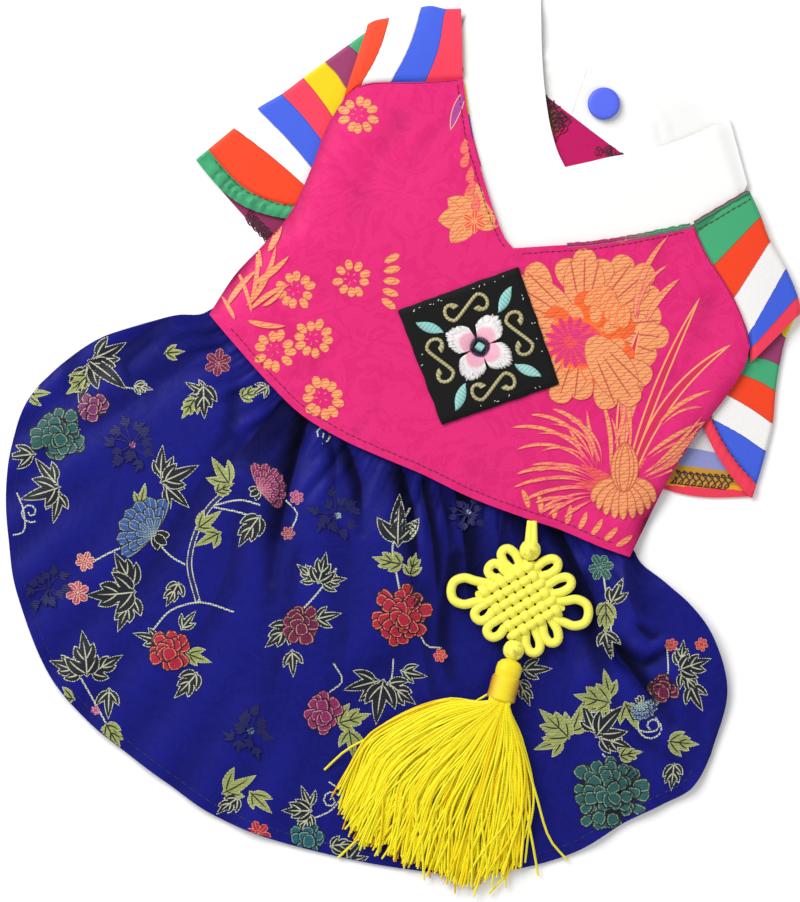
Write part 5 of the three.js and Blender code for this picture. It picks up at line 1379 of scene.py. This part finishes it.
def sewing(trees, cuffs):
    """Every row of stitching that shows, by colour of thread."""
    dark, blue, white = Tubes(), Tubes(), Tubes()
    waist, hem = spline(WAIST), spline(SKIRT_HEM)
    stitches(dark, laid(trees["back"], offset_path(waist, 2.8)[14:-14]), 2.2, 0.12, 0.15, wander=0.1)
    for edge in (LEFT_NECKLINE, RIGHT_NECKLINE):
        stitches(dark, laid(trees["back"], offset_path(spline(edge), -2.1)[4:-4]), 2, 0.12, 0.15, wander=0.1)
    for edge in (LEFT_SEAM, RIGHT_SEAM):
        dark.add(laid(trees["back"], offset_path(spline(edge), -0.35)[3:-3], 0.02), 0.12, 5)
    stitches(blue, laid(trees["skirt"], offset_path(hem, 3.6)[10:-10]), 2.6, 0.9, 0.14)
    for arm, points in cuffs.items():
        stitches(dark, laid(trees[arm], points), 1.8, 0.5, 0.16)
    cuff = laid(trees["arm_right"], [(76.5, 31), (86, 35), (95.6, 39.8)], 0.12)
    loop = resample(cuff, even(220))
    swing = np.linspace(0, 9 * 2 * pi, 220)
    _, aside, _ = frames(loop)
    loop = loop + aside * (2.4 * np.sin(swing))[:, None]
    loop[:, :2] += frames(cuff)[0][:1, :2] * (1.1 * np.sin(2 * swing + 0.6))[:, None]
    dark.add(loop, 0.24, 5)
    for run in (-2.6, 2):
        dark.add(laid(trees["arm_right"], [(76.5, 31 + run), (86, 35 + run), (95, 39 + run)], 0.1), 0.16, 5)
    for x, y in ((-52, 128.4), (-33, 124)):
        dark.add(laid(trees["belly"], [(x, y), (x + 4, y + 1.5)], 0.1), 0.2, 5)
    white.add(laid(trees["belly"], [(-20.6, 126), (-22.5, 136), (-24, 144)], 0.02), 0.12, 5)
    for row, (start, end) in enumerate((((-31.6, 126.2), (-23.4, 115.2)), ((-29.4, 125.8), (-21.8, 117.6)),
                                        ((-26.6, 125), (-20.6, 120.8)), ((-23.6, 124), (-20, 122.8)))):
        turns = max(2, int(dist(start, end) / 1.5))
        share = even(turns * 8 + 1)[:, None]
        loop = mix(np.array(start)[None], np.array(end)[None], share)
        loop = loop + np.column_stack([np.sin(share * turns * 2 * pi + row),
                                       0.7 * np.cos(share * turns * 4 * pi)]) * 1.25
        loop += shaky(loop, 1.4, 41, 0.5)
        dark.add(laid_points(trees["belly"], loop, 0.12), 0.24, 5)
    raw = Tubes()
    right, left = spline(RIGHT_NECKLINE), spline(LEFT_NECKLINE)
    for distance, radius, first, last in ((-0.2, 0.5, (150, 40, 90), (70, 150, 110)),
                                          (-0.9, 0.35, (206, 70, 126), (110, 110, 110)),
                                          (0.5, 0.4, (190, 50, 110), (60, 140, 100))):
        path = laid(trees["back"], resample(offset_path(right, distance), np.linspace(0.3, 0.99, 70)), 0.05)
        share = even(len(path))
        tint = mix(np.array(colour(*first)), np.array(colour(*last)), ease(share, 0.35, 0.75)[:, None])
        path[:, :2] += shaky(np.column_stack([share * 60, share * 0]), 2.2, 51)
        path[:, 2] = np.maximum(path[:, 2], 4.6)
        raw.add(path, radius * (0.8 + 0.3 * np.sin(share * 90)), 6, tint, 0.5)
    for low, high, tint in ((0.02, 0.2, (255, 214, 30)), (0.2, 0.34, (130, 70, 180)), (0.34, 0.5, (232, 60, 120))):
        path = laid(trees["back"], resample(offset_path(left, 0.15), np.linspace(low, high, 34)), 0.05)
        path[:, 2] = np.maximum(path[:, 2], 4.6)
        raw.add(path, 0.42, 6, colour(*tint), 0.5)
    cap_edge = laid(trees["cap_right"], [(37.6, 113.4), (43, 123), (48.6, 132.8)], 0.15)
    inner = laid(trees["cap_right"], [(39.4, 111.6), (45, 121.4), (50.8, 131.6)], 0.12)
    for distance, radius, tint in ((-0.1, 0.5, (60, 130, 96)), (0.7, 0.35, (130, 60, 96))):
        path = cap_edge.copy()
        path[:, :2] += shaky(path, 1.6, 61)
        path[:, 0] -= distance
        path[:, 2] = np.maximum(path[:, 2], path[:, 2].mean())
        raw.add(path, radius, 6, colour(*tint), 0.5)
    stitches(dark, inner, 2.2, 0.12, 0.16)
    stitches(dark, laid(trees["cap_left"], [(-61.6, 118.4), (-67, 127.6), (-72.6, 136.6)], 0.1), 2.2, 0.12, 0.16)
    for x, y, wide, deep, turn, tint in ((-28, 122, 4.4, 2.6, -52, (60, 24, 32)),
                                         (-25, 119.6, 4.6, 2.2, -50, (170, 110, 50)),
                                         (-22.6, 121, 3.6, 2.2, -46, (60, 24, 32)),
                                         (-3.4, 119.6, 3.4, 1.8, 24, (90, 26, 50)),
                                         (0.6, 119.8, 3, 1.6, 30, (90, 26, 50)),
                                         (-1.6, 120.4, 2.4, 1.5, -40, (90, 26, 50))):
        share = even(90)
        angle = radians(turn)
        side = wide * (2 * share - 1) + 0.9 * np.sin(share * 34)
        up = deep * np.cos(share * 34) * (0.6 + 0.4 * np.sin(share * 9))
        path = np.column_stack([x + side * cos(angle) - up * sin(angle), y + side * sin(angle) + up * cos(angle)])
        path += shaky(path, 1.3, 71)
        raw.add(laid_points(trees["belly"], path, 0.16), 0.15, 5, colour(*tint))
    for shift in (0, 1.6):
        share = even(240)
        path = np.column_stack([mix(-103, -90, share) + 0.9 * np.cos(share * 96),
                                mix(36.6, 33, share) - shift + 1.1 * np.sin(share * 96) + 0.3 * np.sin(share * 31)])
        raw.add(laid_points(trees["arm_left"], path, 0.1), 0.17, 5, colour(78, 22, 52))
    return (raw.build("neck_raw_edges", "silk"), dark.build("stitches_dark", "dark_thread"),
            blue.build("stitches_blue", "blue_thread"), white.build("stitches_white", "white_thread"))


# ---- patch, snap and the knotted charm

PATCH_CORNERS = np.array([(-39, 33), (-9.5, 68), (24, 39), (-5, 5.5)])  # left, top, right and bottom


def patch_piece():
    """Black satin square with turned edges that pucker a little."""
    s = even(61)

    def edge(a, b, seed):
        path = mix(a[None], b[None], s[:, None])
        across = np.array([b[1] - a[1], a[0] - b[0]]) / np.linalg.norm(b - a)
        wobble = 0.35 * ripple(s * 60, s * 0, 5, seed) + 0.12 * ripple(s * 60, s * 0, 1.4, seed + 1)
        return path + across * (wobble * np.sin(pi * s) ** 0.3)[:, None]

    left, top, right, bottom = PATCH_CORNERS
    flat = fill(edge(left, bottom, 21), edge(top, right, 22), edge(left, top, 23), edge(bottom, right, 24))
    near = np.minimum(np.minimum(s, 1 - s)[:, None], np.minimum(s, 1 - s)[None, :])
    z = back_height(flat[..., 0], flat[..., 1]) + 1.4
    z = z - 0.5 * (1 - ease(near, 0, 0.035)) + 0.12 * ripple(flat[..., 0], flat[..., 1], 9, 25) * ease(near, 0, 0.1)
    return cloth("patch", np.dstack([flat, z]), "patch", uv=flat, wall=0.9)


def embroidery(tree):
    """Satin-stitch flower, leaves and scrolls, every thread laid by itself."""
    left, top, right, bottom = PATCH_CORNERS
    middle = np.array([(left[0] + right[0]) / 2 + 0.3, (top[1] + bottom[1]) / 2 - 0.4])
    threads = Tubes()
    white, pink, deep = colour(250, 246, 246), colour(250, 196, 214), colour(246, 160, 190)
    teal, teal_shade = colour(172, 226, 220), colour(132, 200, 196)
    sand, sand_shade = colour(206, 198, 150), colour(160, 148, 100)

    def lay(start, end, tints, puff, radius, dip=0.16):
        path = mix(np.array(start)[None], np.array(end)[None], even(7)[:, None])
        lift = np.sin(pi * even(7)) ** 0.5 * (puff + dip) - dip
        z = drop(tree, path[:, 0], path[:, 1]) + lift
        threads.add(np.column_stack([path, z]), radius, 5, tints)

    for turn in (4, 92, 189, 279):
        c, s = toward(turn)
        out, aside = np.array([c, s]), np.array([-s, c])
        for k in range(38):
            share = (k / 37 - 0.5) * 2
            reach = 12.2 * (1 - 0.44 * abs(share) ** 1.7) + about(0.4)
            width = 4.5 * sin(pi * 0.5 * share)
            root = middle + out * (2.4 + 0.3 * abs(share)) + aside * share * 2.3
            tip = middle + out * reach * (0.98 - 0.1 * abs(share)) + aside * width
            shade = even(7)[:, None]
            tints = np.where(shade < 0.66, np.array([pink if k % 3 else deep]), np.array([white]))
            lay(root, tip, tints, 0.55 + 0.35 * (1 - abs(share)), 0.22)
        for k in range(50):
            share = (k / 49 - 0.5) * 2
            reach = 13 * (1 - 0.42 * abs(share) ** 1.7) + dice.uniform(-0.6, 0.4)
            tip = middle + out * reach * (0.98 - 0.1 * abs(share)) + aside * 4.9 * sin(pi * 0.5 * share)
            start = middle + (tip - middle) * dice.uniform(0.6, 0.88)
            lay(start, tip, white, 0.7 + 0.2 * (1 - abs(share)), 0.2)
        for k in range(22):
            share = k / 21
            half = 1.65 * sin(pi * share) ** 0.75 + 0.12
            here = middle + out * (14.6 + 9.2 * share)
            lay(here - aside * half - out * 0.5, here + aside * half + out * 0.5, teal if k % 3 else teal_shade, 0.3,
                0.26)
    for k in range(26):
        turn = 2 * pi * k / 26
        out = np.array([cos(turn), sin(turn)])
        lay(middle + out * 1.7, middle + out * 3.7, colour(44, 24, 62), 1.1, 0.24)
    for k in range(9):
        lay(middle + (-1.4 + 0.32 * k, -1.4), middle + (-1.1 + 0.3 * k, 1.5), teal if k % 2 else teal_shade, 1.2, 0.25)
    for turn in (49, 139, 229, 319):
        c, s = toward(turn)
        out, aside = np.array([c, s]), np.array([s, -c])
        theta = np.radians(np.arange(45, 262, 18))
        swell = mix(1.6, 3.2, ease(theta, 0.6, 2.6))
        half = np.column_stack([swell * np.cos(theta) - 4.7, swell * np.sin(theta)])
        curl = np.vstack([half, -half[::-1]])
        curl = middle + out * (15 + curl[:, 1:]) + aside * curl[:, :1]
        curl = spline(curl, 6)
        curl = resample(curl, even(84))
        tangent = unit(np.gradient(curl, axis=0))
        for k, (here, way) in enumerate(zip(curl, tangent)):
            share = abs(k / 83 - 0.5) * 2
            half = 0.5 + 0.5 * ease(share, 0.82, 1)
            across = np.array([-way[1], way[0]]) * half + way * 0.35
            lay(here - across, here + across, sand if k % 3 else sand_shade, 0.35, 0.24)
    for _ in range(26):
        side, run = dice.randrange(4), dice.uniform(0.05, 0.95)
        here = mix(PATCH_CORNERS[side], PATCH_CORNERS[(side + 1) % 4], run)
        here = mix(here, middle, dice.uniform(0.05, 0.1))
        way = dice.uniform(0, 2 * pi)
        lay(here, here + np.array([cos(way), sin(way)]) * dice.uniform(0.3, 0.9), white, 0.06, 0.12, 0.05)
    return threads.build("patch_embroidery", "silk")


def snap():
    """Round plastic cap with a soft rim and a nearly flat top, turned from its profile."""
    profile = [(0, 2.45), (3, 2.45), (4.6, 2.42), (5.3, 2.3), (5.65, 2), (5.8, 1.5), (5.75, 0.5), (5.4, 0.1), (0, 0.1)]
    base = (snap_low[2] / MM) + 0.02
    scale = (snap_high[2] - snap_low[2]) / MM / 2.45
    mesh = bpy.data.meshes.new("snap_button")
    points = place(np.array([(SNAP.x + r, SNAP.y, base + h * scale) for r, h in profile]))
    mesh.from_pydata(points.tolist(), [(k, k + 1) for k in range(len(profile) - 1)], [])
    piece = link("snap_button", mesh)
    pick(piece)
    bpy.ops.object.mode_set(mode="EDIT")
    bpy.ops.mesh.select_all(action="SELECT")
    centre = place([(SNAP.x, SNAP.y, 0)])[0]
    bpy.ops.mesh.spin(steps=64, angle=2 * pi, center=tuple(centre), axis=(0, 0, 1))
    bpy.ops.mesh.select_all(action="SELECT")
    bpy.ops.mesh.remove_doubles(threshold=1e-6)
    bpy.ops.mesh.normals_make_consistent(inside=False)
    bpy.ops.object.mode_set(mode="OBJECT")
    bpy.ops.object.shade_smooth_by_angle(angle=radians(50))
    mesh.materials.append(LOOKS["plastic"])
    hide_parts("snap_cap")
    return piece


KNOT = SimpleNamespace(top=(46.5, -21), right=(66, -31), bottom=(56, -48.5), left=(35.5, -39.5), low=3.3, thick=4.6,
                       cells=6)
# Each loop: where it leaves the knot, its tip and its width.
LOOPS = [
    (36.5, -39.6, 27.6, -44.4, 9.5), (65, -31.2, 74.4, -27, 9.5), (44, -25.6, 36.6, -22.3, 5),
    (41, -30.6, 35.2, -29.9, 5), (51, -23.6, 55.4, -16.4, 5), (57.6, -27, 63, -19.8, 5), (42.6, -42.4, 40.3, -48.4, 5),
    (49.2, -45.2, 47.2, -51.4, 5), (59.4, -42.8, 64.8, -48.6, 5), (62.8, -36.8, 69, -42, 5)]
LOOP_SHAPE = [(-0.3, -0.35), (-0.4, 0.15), (-0.5, 0.55), (-0.34, 0.9), (0, 1), (0.34, 0.9), (0.5, 0.55), (0.4, 0.15),
              (0.3, -0.35)]
BUTTONS = [(44.8, -17.6, 6.6), (57.6, -51.6, 6.6)]
BUTTON_RADIUS = 3.7
STRANDS = 620
HEAD_RINGS, HEAD_SIDES = 150, 40
HEAD = SimpleNamespace(start=(58.8, -55.6), end=(62.2, -68.8), z=7.3, width=10.4, height=7.6)


def knot():
    """Square knot of one round cord: strands woven over and under, ten loops, two button knots."""
    cords = Tubes()
    top, right, bottom, left = (np.array(c, float) for c in (KNOT.top, KNOT.right, KNOT.bottom, KNOT.left))
    middle = KNOT.low + KNOT.thick / 2
    radius = CORD / 2
    for row in range(KNOT.cells):
        share = (row + 0.5) / KNOT.cells
        for family, (a, b) in enumerate(((mix(top, left, share), mix(right, bottom, share)),
                                         (mix(top, right, share), mix(left, bottom, share)))):
            u = np.linspace(-0.03, 1.03, 79)
            path = mix(a[None], b[None], u[:, None])
            phase = pi * (row + (0 if family else 1))
            swing = np.sin(u * KNOT.cells * pi + phase)
            z = middle + 1.5 * swing
            thick = radius * (0.8 + 0.16 * swing)
            cords.add(np.column_stack([path, z]), thick, 14, flat=0.95)
    for x, y, tip_x, tip_y, width in LOOPS:
        root, tip = np.array([x, y]), np.array([tip_x, tip_y])
        reach = dist(root, tip)
        out = (tip - root) / reach
        aside = np.array([-out[1], out[0]])
        flat = spline([root + out * reach * far + aside * width * side for side, far in LOOP_SHAPE], 8)
        cords.add(np.column_stack([flat, np.full(len(flat), middle - 0.1)]), radius * 0.93, 12)
    for x, y, z in BUTTONS:
        rises = (-2.6, -2.2, -1.2, 0, 1.2, 2.2, 2.6)
        cords.add([(x, y, z + rise) for rise in rises], [0.6, 1.6, 2.5, 2.9, 2.5, 1.6, 0.6], 16)
        for lean, tilt in ((10, 1.2), (70, 1.2), (130, 1.2), (40, 0.5), (150, 0.4)):
            t = np.linspace(0, 2 * pi, 33)
            ring = np.column_stack([np.cos(t), np.sin(t), 0 * t]) * (BUTTON_RADIUS - 1.15)
            c, s = cos(tilt), sin(tilt)
            ring = ring @ np.array([[1, 0, 0], [0, c, s], [0, -s, c]])
            c, s = toward(lean)
            ring = ring @ np.array([[c, s, 0], [-s, c, 0], [0, 0, 1]])
            cords.add(ring + (x, y, z), 1.3, 8)
    return cords.build("norigae_cord_knot", "cord")


def strap():
    cords = Tubes()
    for side in (-1, 1):
        path = spline([(40.2, -8.2), (41.6, -11), (43.2, -14), (44.4, -16.4)], 8)
        path = offset_path(path, side * np.linspace(0.75, 1.1, len(path))[:, None])
        z = np.linspace(5.9, 6.5, len(path))
        cords.add(np.column_stack([path, z]), np.linspace(1.05, 1.4, len(path)), 12, flat=0.8)
    return cords.build("norigae_cord_strap", "cord")


STRAYS = [
    [(62, -69, 7.5), (72, -78, 8), (84, -92, 6.4), (98, -108, 4.6), (106, -117.5, 2.2)],
    [(63, -69, 7), (75, -78, 7.6), (90, -92, 6), (103, -104, 4), (112.5, -107.5, 2.2)],
    [(58, -69, 7), (50, -82, 7.4), (34, -98, 6), (24, -112, 4.4), (20.5, -123, 2)],
    [(60, -69, 7), (58, -90, 8), (50, -116, 6), (44, -136, 4), (40.5, -148, 2)],
    [(62, -69, 7), (74, -84, 7.6), (88, -102, 5.4), (96, -118, 3.6), (94, -132, 1.8)]]


def spline3(marks, count):
    """Evenly spaced points on a smooth curve in space."""
    return resample(spline(marks, 8), even(count))


def head_and_tassel():
    """The wound head and its strands; every strand is one twisted cord that spreads and sags."""
    start, end = np.array(HEAD.start), np.array(HEAD.end)
    length = dist(start, end)
    out = (end - start) / length
    aside = np.array([-out[1], out[0]])
    rows = []
    for share in np.linspace(-0.06, 1.05, HEAD_RINGS):
        width = np.interp(share, (-0.06, 0, 0.1, 0.25, 0.36, 0.4, 0.43, 0.5, 0.85, 1, 1.05),
                          (0.3, 0.66, 0.86, 0.9, 0.87, 0.84, 0.93, 0.98, 0.96, 1, 0.9))
        thread_ridge = 0.022 * abs(sin(share * length / WINDING * pi)) if share > 0.4 else 0
        rows.append((share * length, width * (1 + thread_ridge)))
    sides = HEAD_SIDES
    angle = np.arange(sides) * 2 * pi / sides
    points = []
    for far, width in rows:
        for a in angle:
            flat = start + out * far + aside * cos(a) * width * HEAD.width / 2
            points.append((flat[0], flat[1], HEAD.z + sin(a) * width * HEAD.height / 2))
    count = len(rows)
    faces = [[i * sides + j, i * sides + (j + 1) % sides, (i + 1) * sides + (j + 1) % sides, (i + 1) * sides + j]
             for i in range(count - 1) for j in range(sides)]
    faces += [list(range(sides - 1, -1, -1)), [(count - 1) * sides + j for j in range(sides)]]
    side = np.tile(abs(np.cos(angle)), count)
    along = np.repeat([far for far, _ in rows], sides)
    band = (along / length > 0.42) * 1
    head = add_mesh("norigae_head", np.array(points), faces, LOOKS["wound"], None,
                    {"rim": side, "band": band, "along": along}, None, 60)

    strands = Tubes()
    guide = table("across x1 y1 x2 y2 x3 y3", [
        (0, 45, -80, 30, -103, 31, -127), (0.2, 50, -84, 38, -108, 41, -137), (0.4, 56, -87, 49, -112, 55, -137.5),
        (0.6, 63, -87, 62, -112, 70, -135), (0.8, 70, -83, 76, -105, 85, -133.5), (1, 76, -78, 90, -97, 97.5, -118)])
    light, warm, deep = colour(255, 246, 48), colour(255, 230, 18), colour(238, 144, 4)
    for _ in range(STRANDS):
        across, level = dice.random(), dice.random() ** 0.8
        drift = (0, dice.gauss(0, 0.03), dice.gauss(0, 0.055))
        via, mid, tip = (np.array([np.interp(across + drift[n], guide.across, getattr(guide, f"x{n + 1}")),
                                   np.interp(across + drift[n], guide.across, getattr(guide, f"y{n + 1}"))])
                         for n in range(3))
        wander = np.array([dice.gauss(0, 1.7), dice.gauss(0, 1.7)])
        root = end + aside * (0.5 - across) * -0.74 * HEAD.width * (1 - 0.2 * dice.random())
        short = dice.uniform(0, 0.09) + (0.25 if dice.random() < 0.06 else 0)
        tip = mix(tip, mid, short) + wander * 1.2
        marks = [np.append(root - out * 1.5, HEAD.z + (level - 0.5) * 0.6 * HEAD.height),
                 np.append(root + out * 2, HEAD.z + (level - 0.5) * 0.7 * HEAD.height),
                 np.append(via + wander * 0.4, 3.2 + 5 * level), np.append(mid + wander * 0.9, 2.4 + 4.6 * level),
                 np.append(mix(mid, tip, 0.55) + wander * 0.6, 1.9 + 4 * level), np.append(tip, 1.3 + 3.4 * level)]
        path = spline3(marks, 20)
        swing = np.linspace(0, dice.uniform(8, 16), 20) + dice.uniform(0, 6)
        path = path + frames(path)[1] * (dice.uniform(0.2, 0.75) * np.sin(swing) * even(20) ** 0.6)[:, None]
        # strands low in the bundle, under the others, are deeper orange and warmer: painted shade; some others are warm
        # at random
        shade = mix(np.array(deep), np.array(warm if level < 0.45 or dice.random() < 0.25 else light),
                    min(1, level * 1.7))
        strands.add(path, 0.4 * np.append(np.ones(19), 0.8), 4, shade)
    for marks in STRAYS:
        strands.add(spline3(marks, 16), 0.42, 4, light)
    return head, strands.build("norigae_strands", "strands")


# ---- making everything

stage()
back = back_panel()
belly_left = belly_panel(BELLY_LEFT_SIDE, PLACKET.left_panel, BELLY_COLLAR_LEFT, lambda x: ON_FLOOR, "belly_left")
belly_right = belly_panel(BELLY_RIGHT_SIDE, PLACKET.right_panel, BELLY_COLLAR_RIGHT, overlap_height, "belly_right")
collar_back_left = collar_band(LEFT_COLLAR, lambda x, y, a: back_collar_height(x, y, a) - 0.03, "collar_back_left")
collar_back_right = collar_band(RIGHT_COLLAR, back_collar_height, "collar_back_right")
collar_belly_left = collar_band(BELLY_COLLAR_LEFT, lambda x, y, _: ON_FLOOR + rumple(x, y), "collar_belly_left")
collar_belly_right = collar_band(BELLY_COLLAR_RIGHT, overlap_collar_height, "collar_belly_right")
arm_left, cuff_left = sleeve_arm(LEFT_SLEEVE, LEFT_ARM_LINES, "left_arm", "sleeve_left_arm", True)
arm_right, cuff_right = sleeve_arm(RIGHT_SLEEVE, RIGHT_ARM_LINES, "right_arm", "sleeve_right_arm", False)
cap_left = sleeve_cap(LEFT_CAP, LEFT_CAP_LINES, "left_cap", "sleeve_left_cap", -1)
cap_right = sleeve_cap(RIGHT_CAP, RIGHT_CAP_LINES, "right_cap", "sleeve_right_cap", 1)
skirt_piece = skirt()
patch = patch_piece()
trees = {name: surface_under(cloth_piece) for name, cloth_piece in (
    ("back", back), ("skirt", skirt_piece), ("patch", patch), ("arm_left", arm_left), ("arm_right", arm_right),
    ("cap_left", cap_left), ("cap_right", cap_right))}
trees["belly"] = surface_under(belly_left, belly_right, collar_belly_left, collar_belly_right)
bodice_pattern = bodice_figures(trees["back"])
skirt_pattern = skirt_figures(trees["skirt"])
raw_edges, dark_rows, blue_rows, white_rows = sewing(trees, {"arm_left": cuff_left, "arm_right": cuff_right})
stitched = embroidery(trees["patch"])
snap_piece = snap()
knot_piece, strap_piece = knot(), strap()
head, strands = head_and_tassel()
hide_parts("norigae_knot", "norigae_button_upper", "norigae_button_lower")
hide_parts("norigae_strap")
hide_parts("norigae_tassel")

SLOTS = {
    "fuchsia_brocade": (back, bodice_pattern, raw_edges), "pink_cloth": (belly_left, belly_right),
    "white_satin": (collar_back_left, collar_back_right, collar_belly_left, collar_belly_right, white_rows),
    "rainbow_stripes": (arm_left, arm_right, cap_left, cap_right, dark_rows),
    "blue_brocade": (skirt_piece, skirt_pattern, blue_rows), "black_satin": (patch, stitched),
    "blue_plastic": (snap_piece,), "yellow_cord": (knot_piece, strap_piece), "yellow_tassel": (head, strands)}
for slot, members in SLOTS.items():
    for piece in members:
        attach(piece, "root")
